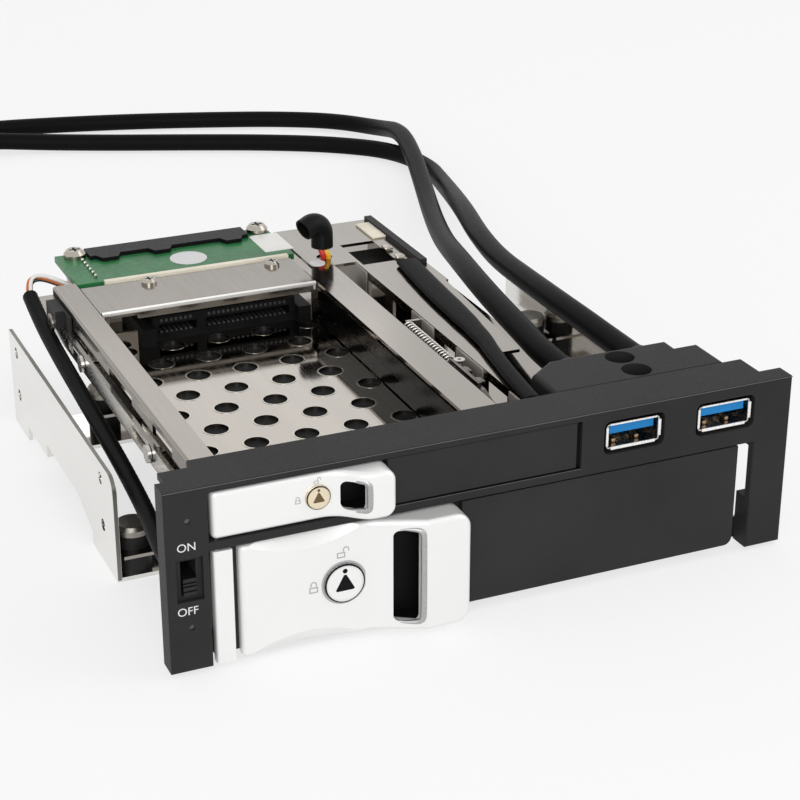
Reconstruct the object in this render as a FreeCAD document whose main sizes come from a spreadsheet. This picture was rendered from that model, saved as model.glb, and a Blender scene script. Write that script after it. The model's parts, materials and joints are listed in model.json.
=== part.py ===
import FreeCAD, Part
import math
import os
import re

import Sketcher

# A two-bay drive rack for a 5.25-inch bay: a moulded bezel, a hinged door for each drive size,
# a sheet-steel cage on rubber dampers between two side brackets, boards, sockets and leads.
# Millimetres. X runs across the bezel, Y from the bezel's front to the back, Z up from the bracket feet.

# Driving sizes: name and value
SIZES = [
    # bezel
    ("bezel_width", 148.5), ("bezel_height", 42), ("bezel_lift", 0.85), ("bezel_thick", 5.4),
    ("leg_wall", 2), ("leg_hollow", 4), ("leg_low", 12.5), ("bezel_round", 0.6), ("shelf_depth", 13.2),
    ("shelf_step", 3.2), ("shelf_wall", 1.4),
    ("shelf_left", 2.0), ("shelf_right", 5.6), ("opening_half", 65), ("lower_opening_height", 27.15),
    ("bar_height", 2.1), ("upper_opening_width", 85.5), ("upper_opening_height", 11.4),
    # front controls
    ("usb_first", 31.0), ("usb_pitch", 23.3), ("usb_height", 6.65), ("usb_recess_width", 15.2),
    ("usb_recess_height", 8), ("usb_recess_round", 1.6), ("usb_shell_width", 13.2),
    ("usb_shell_height", 5.9),
    ("usb_shell_wall", 0.35), ("usb_shell_length", 14), ("usb_shell_set", 0.7), ("usb_tongue_width", 11.1),
    ("usb_tongue_thick", 2), ("usb_tongue_length", 9.8),
    ("control_inset", 4.9), ("switch_level", 22.5), ("switch_recess_width", 5.8),
    ("switch_recess_height", 10),
    ("switch_recess_depth", 1.2), ("knob_width", 2.8), ("knob_height", 3.9), ("knob_travel", 3.6),
    ("knob_clearance", 0.25), ("knob_set", 0.3), ("lamp_radius", 0.65), ("lamp_low", 10.4),
    ("lamp_high", 35.0),
    # doors
    ("door_gap", 0.3), ("door_side_gap", 0.8), ("hinge_inset", 1.9), ("hinge_depth", 1.3),
    ("pin_radius", 0.6),
    ("running_clearance", 0.05), ("door_corner", 1.3), ("handle_thick", 2.2), ("panel_thick", 2.2),
    ("panel_set", 0.4), ("upper_panel_gap", 1.1), ("lower_panel_gap", 3.8), ("lower_panel_lift", 1.7),
    ("panel_corner", 2), ("grip_reach", 5), ("grip_wall", 1.8), ("grip_round", 1.1), ("ramp_round", 8),
    ("handle_edge", 0.5), ("upper_handle_length", 38.7), ("upper_ramp_end", 32.4),
    ("upper_ramp_start", 26.6),
    ("upper_slot_start", 27.6), ("upper_slot_width", 4.7), ("upper_slot_height", 6.6),
    ("upper_lock_in", 23.0),
    ("upper_lock_radius", 2.7), ("block_width", 4.1), ("block_gap", 1.5), ("block_lift", 0.35),
    ("upper_grip_corner", 2.5), ("lower_grip_corner", 3.5), ("upper_crest_round", 6),
    ("lower_crest_round", 1.15), ("slot_round", 1.5),
    ("lower_handle_length", 50.5), ("lower_ramp_end", 40.4), ("lower_ramp_start", 29),
    ("lower_slot_start", 33.5), ("lower_slot_width", 5.4), ("lower_slot_height", 22), ("lower_lock_in", 23),
    ("lower_lock_radius", 4.6), ("lock_proud", 0.5), ("cam_gap", 0.5), ("cam_thick", 0.9),
    ("cam_width", 4.4),
    ("cam_overlap", 0.7), ("scoop_radius", 52), ("scoop_depth", 3.4), ("scoop_middle", 14.4),
    ("crank_reach", 3.6), ("crank_width", 3), ("crank_height", 3),
    # cage
    ("sheet", 0.8), ("upper_bay_width", 70.5), ("upper_bay_start", 2.2), ("lower_bay_width", 103),
    ("lower_bay_start", 19.5), ("deck_drop", 0.2), ("deck_width", 105.6), ("deck_length", 144.6),
    ("rail_height", 10.95), ("left_lip", 5.9), ("right_lip", 9), ("left_rail_length", 122),
    ("right_rail_length", 108), ("cage_base", 1.2), ("cage_depth", 158.4), ("bay_flange", 9),
    ("right_rail_rise", 12.8), ("front_tab_height", 5.4), ("front_tab_inset", 2.2),
    ("vent_radius", 2.9), ("vent_pitch", 12.1), ("vent_row", 10.35), ("vent_rows", 5), ("vent_columns", 5),
    ("vent_side", 10.9), ("vent_front", 15.3), ("deck_set", 3), ("cover_gap", 5.7),
    ("cover_width", 16.8), ("cover_length", 138.6), ("cover_taper", 4.1), ("cover_wall_length", 52),
    ("cover_strip", 4.3), ("cover_step", 37.8), ("cover_window_width", 9.4), ("cover_window_length", 16.5),
    ("cover_window_back", 17), ("cover_window_in", 0.9), ("cover_plate_width", 11.9),
    ("cover_plate_length", 30.4), ("cover_slot", 11),
    # rear
    ("bridge_front", 104.5), ("bridge_depth", 18.6), ("bridge_lip", 1.8), ("bridge_set", 1.6),
    ("board_thick", 1.6), ("backplane_front", 124.2), ("backplane_left", 13), ("backplane_width", 49.9),
    ("backplane_rise", 0.5), ("board_width", 59), ("board_length", 23), ("board_gap", 0.2),
    ("socket_width", 38), ("socket_height", 6.5), ("socket_left", 19.3), ("socket_front", 107.5),
    ("socket_slot", 2.2), ("lower_socket_depth", 8.5), ("lower_socket_in", 36), ("lower_socket_rise", 9),
    ("rear_plug_width", 13), ("rear_plug_depth", 9), ("rear_plug_height", 6.5), ("pillar_radius", 2.4),
    ("shroud_depth", 6.4), ("shroud_height", 1.1), ("shroud_in", 8), ("shroud_width", 44),
    # brackets and dampers
    ("bracket_span", 146.1), ("bracket_sheet", 1), ("bracket_front", 44), ("bracket_length", 96.5),
    ("bracket_height", 25.8), ("bracket_corner", 4), ("foot_length", 20.5), ("bracket_waist", 7.6),
    ("waist_start", 33), ("waist_end", 62), ("rear_foot_start", 82), ("foot_flange", 11),
    ("hole_radius", 1.5), ("hole_first", 10), ("hole_pitch_long", 79.25), ("hole_pitch_high", 11.91),
    ("hole_low", 9.93), ("damper_radius", 4), ("damper_height", 9.2), ("damper_waist", 2.9),
    ("post_radius", 1.5), ("post_cap", 2.2), ("ear_level", 5.2), ("ear_radius", 6.2), ("ear_end", 3.9),
    ("front_damper_in", 5.3), ("front_damper_back", 4.6), ("rear_damper_back", 72),
    ("rear_flange_level", 4),
    ("left_ear_reach", 9), ("right_ear_reach", 9.2),
    # ejectors and latch
    ("rod_gap", 0.7), ("rod_thick", 1), ("rod_height", 4.8), ("rod_level", 0.7), ("rod_front", 19),
    ("rod_back", 124), ("rivet_radius", 1.1), ("rivet_head", 2.1), ("rivet_first", 39.4),
    ("rivet_second", 94),
    ("eject_travel", 12), ("pusher_front", 109), ("pusher_height", 8.4), ("pusher_reach", 5),
    ("pusher_block_width", 1.3), ("pusher_block_length", 9), ("pusher_block_height", 4.6),
    ("lower_rod_level", 11), ("latch_front", 18), ("latch_length", 28), ("latch_thick", 1.2),
    ("latch_height", 9.6), ("roller_radius", 1.7), ("spring_radius", 1.5), ("spring_length", 24.6),
    ("spring_coils", 14), ("spring_wire", 0.5), ("spring_anchor", 4.2), ("latch_gap", 3.4),
    # port housing and leads
    ("housing_width", 44), ("housing_depth", 13), ("housing_back", 4.5), ("housing_drop", 0.3),
    ("housing_base", 11.6), ("housing_cap", 5.2), ("housing_round", 1.2), ("housing_left", 21),
    ("collar_radius", 4), ("collar_length", 3.2), ("left_exit", 13.5), ("right_exit", 32.5),
    ("cap_hole", 3.5), ("cap_hole_back", 4.8), ("cap_hole_pitch", 7.8), ("cap_hole_depth", 4.4),
    ("lead_radius", 3.1), ("lead_level", 5.2),
    ("braid_radius", 2), ("sleeve_radius", 2.9), ("sleeve_wall", 0.6), ("sleeve_bend", 3.2),
    ("sleeve_rise", 6.4), ("sleeve_leg", 3.6), ("sleeve_mouth", 2), ("flat_lead_width", 7.2),
    ("flat_lead_thick", 1.8),
    ("shell_width", 2), ("shell_length", 38), ("shell_height", 1.2), ("wire_radius", 0.7),
    ("lead_plug_width", 4.3), ("lead_plug_length", 7), ("lead_plug_height", 4.2),
    # fasteners
    ("screw_shank", 1.1), ("board_screw_head", 2.9), ("board_screw_height", 2.2),
    ("bridge_screw_head", 2), ("bridge_screw_height", 1.3), ("bridge_screw_length", 2),
    ("bezel_screw_head", 1.9), ("bezel_screw_height", 1.2), ("bezel_screw_shank", 1),
]

# Places worked out from the sizes
PLACES = {
    "middle": "(cage_depth - grip_reach) / 2",
    "bezel_top": "bezel_lift + bezel_height",
    "bar_low": "bezel_lift + lower_opening_height",
    "bar_top": "bar_low + bar_height",
    "upper_top": "bar_top + upper_opening_height",
    "upper_opening_right": "upper_opening_width - opening_half",
    "deck_top": "bar_top - deck_drop",
    "deck_low": "deck_top - sheet",
    "rail_top": "deck_top + rail_height",
    "upper_left": "upper_bay_start - opening_half",
    "upper_right": "upper_left + upper_bay_width",
    "lower_left": "lower_bay_start - opening_half",
    "lower_right": "lower_left + lower_bay_width",
    "deck_left": "upper_left - sheet",
    "deck_right": "deck_left + deck_width",
    "deck_back": "bezel_thick + deck_length",
    "hinge_x": "hinge_inset - opening_half",
    "door_left": "door_side_gap - opening_half",
    "upper_door_low": "bar_top + door_gap",
    "upper_door_high": "upper_top - door_gap",
    "upper_door_middle": "(upper_door_low + upper_door_high) / 2",
    "lower_door_low": "bezel_lift + block_lift",
    "lower_door_high": "bar_low - door_gap",
    "lower_door_middle": "(bezel_lift + bar_low) / 2",
    "panel_back": "handle_thick + panel_thick",
    "lower_handle_left": "door_left + block_width + block_gap",
    "cover_left": "upper_right + sheet + cover_gap",
    "cover_right": "cover_left + cover_width",
    "cover_back": "bezel_thick + cover_length",
    "control_x": "control_inset - bezel_width / 2",
    "bracket_inner": "bracket_span / 2 - bracket_sheet",
    "bracket_back": "bracket_front + bracket_length",
    "board_left": "deck_left + left_lip + 0.2",
    "board_front": "backplane_front + board_thick + board_gap",
    "board_back": "board_front + board_length",
    "board_low": "rail_top - board_thick",
    "rod_low": "deck_top + rod_level",
    "rod_outer": "deck_left - rod_gap - rod_thick",
    "housing_bottom": "bezel_top - housing_drop - housing_cap - housing_base + 4.6",
    "housing_split": "bezel_top - housing_drop - housing_cap",
    "housing_front": "shelf_depth + 0.1",
    "spring_front": "latch_front + latch_length + 0.2",
}

SIZE_NAMES = {name for name, _ in SIZES}
TOUCH = 1e-4
ROLES = {"XY": "XY_Plane", "XZ": "XZ_Plane", "YZ": "YZ_Plane"}
TURNS = {
    "X": FreeCAD.Rotation(FreeCAD.Vector(0, 1, 0), 90),
    "Y": FreeCAD.Rotation(FreeCAD.Vector(1, 0, 0), -90),
    "Z": FreeCAD.Rotation(),
}

doc = FreeCAD.newDocument("drive_rack")
dims = doc.addObject("Spreadsheet::Sheet", "dims")
for row, (size_name, size_value) in enumerate(SIZES, start=1):
    dims.set("A%d" % row, size_name)
    dims.set("B%d" % row, str(size_value))
    dims.setAlias("B%d" % row, size_name)
doc.recompute()

sub_parts = []


def bound(text):
    """The expression with each size turned into its cell and each place written out."""
    def cell(match):
        word = match.group()
        if word in PLACES:
            return "(" + bound(PLACES[word]) + ")"
        return "dims." + word if word in SIZE_NAMES else word
    return re.sub(r"[A-Za-z_]\w*", cell, str(text))


def value(text):
    return float(dims.evalExpression(bound(text)))


def from_front(text):
    """A depth behind the bezel's front face, as a place along Y."""
    return "(%s) - middle" % text


def bind(thing, prop, text):
    thing.setExpression(prop, bound(text))


# Bodies with sketched features

def new_body(label):
    body = doc.addObject("PartDesign::Body", label)
    body.Label = label
    sub_parts.append(body)
    return body


def plane_of(body, plane):
    return [item for item in body.Origin.OriginFeatures if item.Role == ROLES[plane]][0]


def new_sketch(body, plane, depth):
    """A sketch on a plane of the body, set off by depth along the plane's axis."""
    sketch = body.newObject("Sketcher::SketchObject", body.Label + "_sketch")
    sketch.AttachmentSupport = [(plane_of(body, plane), "")]
    sketch.MapMode = "FlatFace"
    place = "-(%s)" % from_front(depth) if plane == "XZ" else depth
    bind(sketch, "AttachmentOffset.Base.z", place)
    return sketch


def flat(plane, point):
    """A point's two places in the plane, with depths counted from the bezel's front."""
    across, up = point
    if plane == "XY":
        return across, from_front(up)
    if plane == "YZ":
        return from_front(across), up
    return across, up


def hold(sketch, kind, geometry, spot, text):
    number = sketch.addConstraint(Sketcher.Constraint(kind, -1, 1, geometry, spot, value(text)))
    bind(sketch, "Constraints[%d]" % number, text)


def draw_outline(sketch, plane, corners):
    places = [flat(plane, corner) for corner in corners]
    points = [FreeCAD.Vector(value(across), value(up), 0) for across, up in places]
    first = sketch.GeometryCount
    count = len(points)
    sketch.addGeometry([Part.LineSegment(points[i], points[(i + 1) % count]) for i in range(count)])
    sketch.addConstraint([
        Sketcher.Constraint("Coincident", first + i, 2, first + (i + 1) % count, 1) for i in range(count)
    ])
    for i, (across, up) in enumerate(places):
        hold(sketch, "DistanceX", first + i, 1, across)
        hold(sketch, "DistanceY", first + i, 1, up)


def draw_circle(sketch, plane, centre, radius):
    across, up = flat(plane, centre)
    middle = FreeCAD.Vector(value(across), value(up), 0)
    circle = sketch.addGeometry(Part.Circle(middle, FreeCAD.Vector(0, 0, 1), value(radius)))
    hold(sketch, "DistanceX", circle, 3, across)
    hold(sketch, "DistanceY", circle, 3, up)
    number = sketch.addConstraint(Sketcher.Constraint("Radius", circle, value(radius)))
    bind(sketch, "Constraints[%d]" % number, radius)


def rectangle(low_across, high_across, low_up, high_up):
    return [(low_across, low_up), (high_across, low_up), (high_across, high_up), (low_across, high_up)]


def settle(feature):
    """Recompute, and stop at the first feature that can't be made."""
    doc.recompute()
    if "Invalid" in feature.State or feature.Shape.isNull():
        raise RuntimeError(feature.Label + " can't be made")
    return feature


def add_feature(body, kind, sketch, length, backwards):
    feature = body.newObject("PartDesign::" + kind, body.Label + "_" + kind.lower())
    feature.Profile = sketch
    bind(feature, "Length", length)
    feature.Reversed = backwards
    return settle(feature)


def pad(body, plane, depth, corners, length):
    """Material along the plane's axis, from depth on."""
    sketch = new_sketch(body, plane, depth)
    draw_outline(sketch, plane, corners)
    return add_feature(body, "Pad", sketch, length, plane == "XZ")


def cut_away(body, plane, sketch, length):
    before = body.Shape.Volume
    feature = add_feature(body, "Pocket", sketch, length, plane != "XZ")
    if body.Shape.Volume > before - TOUCH:
        raise RuntimeError("a pocket cut nothing in " + body.Label)
    return feature


def pocket(body, plane, depth, outlines, length):
    """Outlines cut away along the plane's axis, from depth on."""
    sketch = new_sketch(body, plane, depth)
    for corners in outlines:
        draw_outline(sketch, plane, corners)
    return cut_away(body, plane, sketch, length)


def drill(body, plane, depth, centres, radius, length):
    sketch = new_sketch(body, plane, depth)
    for centre in centres:
        draw_circle(sketch, plane, centre, radius)
    return cut_away(body, plane, sketch, length)


def repeat(body, feature, axis, pitch, count):
    pattern = body.newObject("PartDesign::LinearPattern", body.Label + "_row")
    pattern.Originals = [feature]
    line = [item for item in body.Origin.OriginFeatures if item.Role == axis + "_Axis"][0]
    pattern.Direction = (line, [""])
    bind(pattern, "Length", "(%s) * (%s - 1)" % (pitch, count))
    body.Tip = pattern
    bind(pattern, "Occurrences", count)
    return settle(pattern)


def edges_at(shape, **places):
    """Names of the edges that lie wholly at the given places."""
    wanted = {axis: value(from_front(text) if axis == "y" else text) for axis, text in places.items()}
    names = []
    for number, edge in enumerate(shape.Edges, start=1):
        low, high = edge.FirstParameter, edge.LastParameter
        points = [edge.valueAt(low), edge.valueAt((low + high) / 2), edge.valueAt(high)]
        if all(abs(getattr(point, axis) - place) < TOUCH for point in points for axis, place in wanted.items()):
            names.append("Edge%d" % number)
    return names


def round_edges(body, radius, *groups):
    names = []
    for group in groups:
        names += edges_at(body.Shape, **group)
    base = body.Tip
    fillet = body.newObject("PartDesign::Fillet", body.Label + "_fillet")
    fillet.Base = (base, names)
    bind(fillet, "Radius", radius)
    return settle(fillet)


# Solids from primitives

def place_at(solid, x, y, z, axis="Z"):
    solid.Placement = FreeCAD.Placement(FreeCAD.Vector(), TURNS[axis])
    bind(solid, "Placement.Base.x", x)
    bind(solid, "Placement.Base.y", from_front(y))
    bind(solid, "Placement.Base.z", z)
    return solid


def box(x, y, z, length, width, height):
    solid = doc.addObject("Part::Box", "block")
    bind(solid, "Length", length)
    bind(solid, "Width", width)
    bind(solid, "Height", height)
    return place_at(solid, x, y, z)


def rod(axis, x, y, z, radius, length):
    solid = doc.addObject("Part::Cylinder", "rod")
    bind(solid, "Radius", radius)
    bind(solid, "Height", length)
    return place_at(solid, x, y, z, axis)


def taper(axis, x, y, z, radius, end_radius, length):
    solid = doc.addObject("Part::Cone", "taper")
    bind(solid, "Radius1", radius)
    bind(solid, "Radius2", end_radius)
    bind(solid, "Height", length)
    return place_at(solid, x, y, z, axis)


def joined(solids):
    whole = doc.addObject("Part::MultiFuse", "joined")
    whole.Shapes = solids
    whole.Refine = True
    return whole


def less(base, tool):
    rest = doc.addObject("Part::Cut", "rest")
    rest.Base = base
    rest.Tool = tool
    rest.Refine = True
    return rest


def sub_part(label, solid):
    solid.Label = label
    sub_parts.append(solid)
    return solid


# Bezel

def usb_x(number):
    return "usb_first + upper_opening_right + 2.1 - 20 + %d * usb_pitch" % number


USB_Z = "bezel_top - usb_height"


def make_bezel():
    body = new_body("bezel")
    half = "bezel_width / 2"
    pad(body, "XZ", "0", [
        ("-" + half, "bezel_lift"), ("-opening_half", "bezel_lift"), ("-opening_half", "bar_low"),
        ("opening_half", "bar_low"), ("opening_half", "bezel_lift"), (half, "bezel_lift"),
        (half, "bezel_top"), ("-" + half, "bezel_top"),
    ], "bezel_thick")
    round_edges(body, "bezel_round", dict(y="0"))
    shelf_left = "shelf_left - " + half
    shelf_right = half + " - shelf_right"
    pad(body, "XY", "bezel_top - shelf_wall", [
        (shelf_left, "bezel_thick"), (shelf_right, "bezel_thick"), (shelf_right, "shelf_depth"),
        ("-opening_half", "shelf_depth"), ("-opening_half", "shelf_depth - shelf_step"),
        (shelf_left, "shelf_depth - shelf_step"),
    ], "shelf_wall")
    pocket(body, "XZ", "0", [rectangle("-opening_half", "upper_opening_right", "bar_top", "upper_top")],
           "bezel_thick")
    drill(body, "XY", "bar_low", [("hinge_x", "hinge_depth")], "pin_radius",
          "bezel_top - door_gap - (bar_low)")
    pocket(body, "XZ", "0", [
        rectangle(usb_x(n) + " - usb_recess_width / 2", usb_x(n) + " + usb_recess_width / 2",
                  USB_Z + " - usb_recess_height / 2", USB_Z + " + usb_recess_height / 2") for n in (0, 1)
    ], "bezel_thick")
    round_edges(body, "usb_recess_round", *[
        dict(x=usb_x(n) + side, z=USB_Z + level) for n in (0, 1)
        for side in (" - usb_recess_width / 2", " + usb_recess_width / 2")
        for level in (" - usb_recess_height / 2", " + usb_recess_height / 2")
    ])
    pocket(body, "XZ", "0", [
        rectangle("control_x - switch_recess_width / 2", "control_x + switch_recess_width / 2",
                  "switch_level - switch_recess_height / 2", "switch_level + switch_recess_height / 2")
    ], "switch_recess_depth")
    pocket(body, "XZ", "switch_recess_depth", [
        rectangle("control_x - knob_width / 2 - knob_clearance", "control_x + knob_width / 2 + knob_clearance",
                  "switch_level - (knob_height + knob_travel) / 2 - knob_clearance",
                  "switch_level + (knob_height + knob_travel) / 2 + knob_clearance")
    ], "bezel_thick - switch_recess_depth")
    drill(body, "XZ", "0", [("control_x", "bezel_lift + lamp_low"), ("control_x", "bezel_lift + lamp_high")],
          "lamp_radius", "bezel_thick")
    pocket(body, "XZ", "leg_wall", [
        rectangle("opening_half - 1", "opening_half + leg_hollow", "bezel_lift + leg_low", "bar_low - 1.5")
    ], "bezel_thick - leg_wall")
    drill(body, "XZ", "2", [(side + "tab_screw_x", "tab_screw_z") for side in ("-", "")], "bezel_screw_shank",
          "bezel_thick - 2")


PLACES["tab_screw_x"] = "(opening_half + bezel_width / 2 - front_tab_inset) / 2"
PLACES["tab_screw_z"] = "cage_base + front_tab_height / 2 + 0.2"


def make_hinge_pin():
    low = "lower_door_low + door_gap"
    length = "bezel_top - door_gap - (%s)" % low
    sub_part("hinge_pin", rod("Z", "hinge_x", "hinge_depth", low, "pin_radius", length))


def make_indicator_lamps():
    lamps = [rod("Y", "control_x", "0.5", "bezel_lift + " + level, "lamp_radius", "bezel_thick - 0.5")
             for level in ("lamp_low", "lamp_high")]
    boards = [box("control_x - 2", "bezel_thick", "bezel_lift + %s - 2" % level, "4", "1.2", "4")
              for level in ("lamp_low", "lamp_high")]
    sub_part("indicator_lamps", joined(lamps + boards))


def make_power_switch():
    slot_low = "switch_level - (knob_height + knob_travel) / 2"
    sub_part("switch_body", less(
        box("control_x - 2.9", "bezel_thick", slot_low + " - 2", "5.8", "6", "knob_height + knob_travel + 4"),
        box("control_x - knob_width / 2 - knob_clearance", "bezel_thick - 1", slot_low + " - knob_clearance",
            "knob_width + 2 * knob_clearance", "4", "knob_height + knob_travel + 2 * knob_clearance")))
    body = new_body("switch_knob")
    face = "knob_set"
    left = "control_x - knob_width / 2"
    pad(body, "YZ", left, rectangle(face, "bezel_thick + 2.4", slot_low, slot_low + " + knob_height"),
        "knob_width")
    pocket(body, "YZ", left, [
        rectangle(face, face + " + 0.4", slot_low + " + knob_height * %.1f" % step,
                  slot_low + " + knob_height * %.1f" % (step + 0.1)) for step in (0.2, 0.45, 0.7)
    ], "knob_width")


def make_usb_ports():
    for number, side in enumerate(("left", "right")):
        x = usb_x(number)
        body = new_body("usb_shell_" + side)
        wide, high, wall = "usb_shell_width / 2", "usb_shell_height / 2", "usb_shell_wall"
        pad(body, "XZ", "usb_shell_set", rectangle(
            x + " - " + wide, x + " + " + wide, USB_Z + " - " + high, USB_Z + " + " + high), "usb_shell_length")
        round_edges(body, "0.7", *[
            dict(x=x + across + wide, z=USB_Z + up + high) for across in (" - ", " + ") for up in (" - ", " + ")])
        pocket(body, "XZ", "usb_shell_set", [rectangle(
            x + " - " + wide + " + " + wall, x + " + " + wide + " - " + wall,
            USB_Z + " - " + high + " + " + wall, USB_Z + " + " + high + " - " + wall)],
            "usb_shell_length - usb_shell_wall")
        back = "usb_shell_set + usb_shell_length - usb_shell_wall"
        sub_part("usb_tongue_" + side, box(
            x + " - usb_tongue_width / 2", back + " - usb_tongue_length - 3", USB_Z + " + 0.25",
            "usb_tongue_width", "usb_tongue_length + 3", "usb_tongue_thick"))


def make_usb_housing():
    right = "housing_left + housing_width"
    back = "housing_front + housing_depth"
    under = new_body("usb_housing")
    pad(under, "XY", "housing_bottom", rectangle("housing_left + 1", right, "bezel_thick", back),
        "housing_split - housing_bottom")
    pocket(under, "XZ", "bezel_thick", [
        rectangle(usb_x(n) + " - usb_shell_width / 2", usb_x(n) + " + usb_shell_width / 2",
                  USB_Z + " - usb_shell_height / 2", "housing_split") for n in (0, 1)
    ], "usb_shell_set + usb_shell_length - bezel_thick")
    cap = new_body("usb_housing_cap")
    pad(cap, "XY", "housing_split", [
        ("housing_left", "housing_front"), (right, "housing_front"), (right, back), (right + " - 6", back),
        (right + " - 6", back + " + housing_back"), ("housing_left + 7", back + " + housing_back"),
        ("housing_left", back + " - 1"),
    ], "housing_cap")
    round_edges(cap, "housing_round", dict(z="housing_split + housing_cap"))
    pad(cap, "XY", "housing_split", rectangle("housing_left + 1", right, "bezel_thick", "housing_front"),
        "bezel_top - shelf_wall - 0.1 - (housing_split)")
    pocket(cap, "XZ", "bezel_thick", [
        rectangle(usb_x(n) + " - usb_shell_width / 2", usb_x(n) + " + usb_shell_width / 2",
                  "housing_split", USB_Z + " + usb_shell_height / 2") for n in (0, 1)
    ], "usb_shell_set + usb_shell_length - bezel_thick")
    middle_x = "housing_left + housing_width / 2 + 1.1"
    last = back + " + housing_back - cap_hole_back"
    drill(cap, "XY", "housing_split + housing_cap - cap_hole_depth", [
        (middle_x, last), (middle_x, last + " - cap_hole_pitch")], "cap_hole", "cap_hole_depth + 1")
    exits = [
        taper("Y", x, back + " + housing_back", LEAD_EXIT_Z, "collar_radius", "lead_radius + 0.4",
              "collar_length")
        for x in LEAD_EXITS
    ]
    cap.Label = "housing_cap_block"
    sub_parts.remove(cap)
    sub_part("usb_housing_cap", joined([cap] + exits))


LEAD_EXITS = ("housing_left + left_exit", "housing_left + right_exit")
LEAD_EXIT_Z = "housing_split + 0.1"
PLACES["lead_exit_y"] = "housing_front + housing_depth + housing_back + collar_length"


# Doors

def door_plan(length, ramp_start, ramp_end, left):
    """Plan of a handle: a flat plate, a ramp towards the hand, and the grip at the end."""
    return [
        (left, "0"), (left + " + " + ramp_start, "0"), (left + " + " + ramp_end, "-grip_reach"),
        (left + " + " + length, "-grip_reach"), (left + " + " + length, "handle_thick"), (left, "handle_thick"),
    ]


def make_handle(label, left, low, high, size):
    """size is the name in front of this handle's own sizes."""
    body = new_body(label)
    length, start, end = size + "_handle_length", size + "_ramp_start", size + "_ramp_end"
    pad(body, "XY", low, door_plan(length, start, end, left), "%s - (%s)" % (high, low))
    tip = "%s + %s" % (left, length)
    round_edges(body, "ramp_round", dict(x="%s + %s" % (left, start), y="0"))
    round_edges(body, size + "_crest_round", dict(x="%s + %s" % (left, end), y="-grip_reach"))
    round_edges(body, size + "_grip_corner", dict(x=tip, z=low), dict(x=tip, z=high))
    round_edges(body, "door_corner", dict(x=left, y="0"))
    round_edges(body, "grip_round", dict(x=tip, y="-grip_reach"))
    slot_left = "%s + %s_slot_start" % (left, size)
    slot_right = slot_left + " + %s_slot_width" % size
    inner = "%s + %s - grip_wall" % (left, length)
    slot_low = "(%s + %s - %s_slot_height) / 2" % (low, high, size)
    slot_high = slot_low + " + %s_slot_height" % size
    pocket(body, "XY", slot_low, [[
        (slot_left, "handle_thick + 1"), (inner, "handle_thick + 1"), (inner, "grip_wall - grip_reach"),
        (slot_right, "grip_wall - grip_reach"), (slot_right, "-grip_reach - 1"), (slot_left, "-grip_reach - 1"),
    ]], size + "_slot_height")
    for x in (slot_left, slot_right):
        round_edges(body, "slot_round", dict(x=x, z=slot_low), dict(x=x, z=slot_high))
    return body


def drill_lock(body, size, left, middle, depth, length):
    drill(body, "XZ", depth, [("%s + %s_lock_in" % (left, size), middle)],
          size + "_lock_radius + running_clearance", length)


def drill_hinge(body, low, height):
    drill(body, "XY", low, [("hinge_x", "hinge_depth")], "pin_radius + running_clearance", height)


def make_upper_door():
    low, high = "upper_door_low", "upper_door_high"
    handle = make_handle("upper_handle", "door_left", low, high, "upper")
    drill_hinge(handle, low, "upper_door_high - upper_door_low")
    drill_lock(handle, "upper", "door_left", "upper_door_middle", "-1", "handle_thick + 1")
    panel = new_body("upper_door_panel")
    right = "upper_opening_right - upper_panel_gap"
    step = "door_left + upper_handle_length + 0.2"
    pad(panel, "XY", low, [
        ("door_left", "handle_thick"), (step, "handle_thick"), (step, "panel_set"), (right, "panel_set"),
        (right, "panel_back"), ("door_left", "panel_back"),
    ], "upper_door_high - upper_door_low")
    pad(panel, "XY", "upper_door_middle - crank_height / 2", rectangle(
        "hinge_x + 0.6", "hinge_x + 0.6 + crank_width", "panel_back", "panel_back + crank_reach"), "crank_height")
    drill_lock(panel, "upper", "door_left", "upper_door_middle", "panel_set", "panel_back")


def make_lower_door():
    low, high = "lower_door_low", "lower_door_high"
    left = "lower_handle_left"
    handle = make_handle("lower_handle", left, low, high, "lower")
    scoop(handle, high, -1)
    scoop(handle, low, 1)
    drill_lock(handle, "lower", left, "lower_door_middle", "-1", "handle_thick + 1")
    block = new_body("lower_hinge_block")
    pad(block, "XY", low, rectangle("door_left", "door_left + block_width", "0", "handle_thick"),
        "lower_door_high - lower_door_low")
    round_edges(block, "door_corner * 0.6", dict(x="door_left", y="0"))
    drill_hinge(block, low, "lower_door_high - lower_door_low")
    panel = new_body("lower_door_panel")
    right = "opening_half - lower_panel_gap"
    step = left + " + lower_handle_length + 0.2"
    bottom = "bezel_lift + lower_panel_lift"
    pad(panel, "XY", bottom, [
        ("door_left", "handle_thick"), (step, "handle_thick"), (step, "panel_set"), (right, "panel_set"),
        (right, "panel_back"), ("door_left", "panel_back"),
    ], "lower_door_high - (%s)" % bottom)
    round_edges(panel, "panel_corner", dict(x=right, z=bottom))
    drill_lock(panel, "lower", left, "lower_door_middle", "panel_set", "panel_back")


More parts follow.
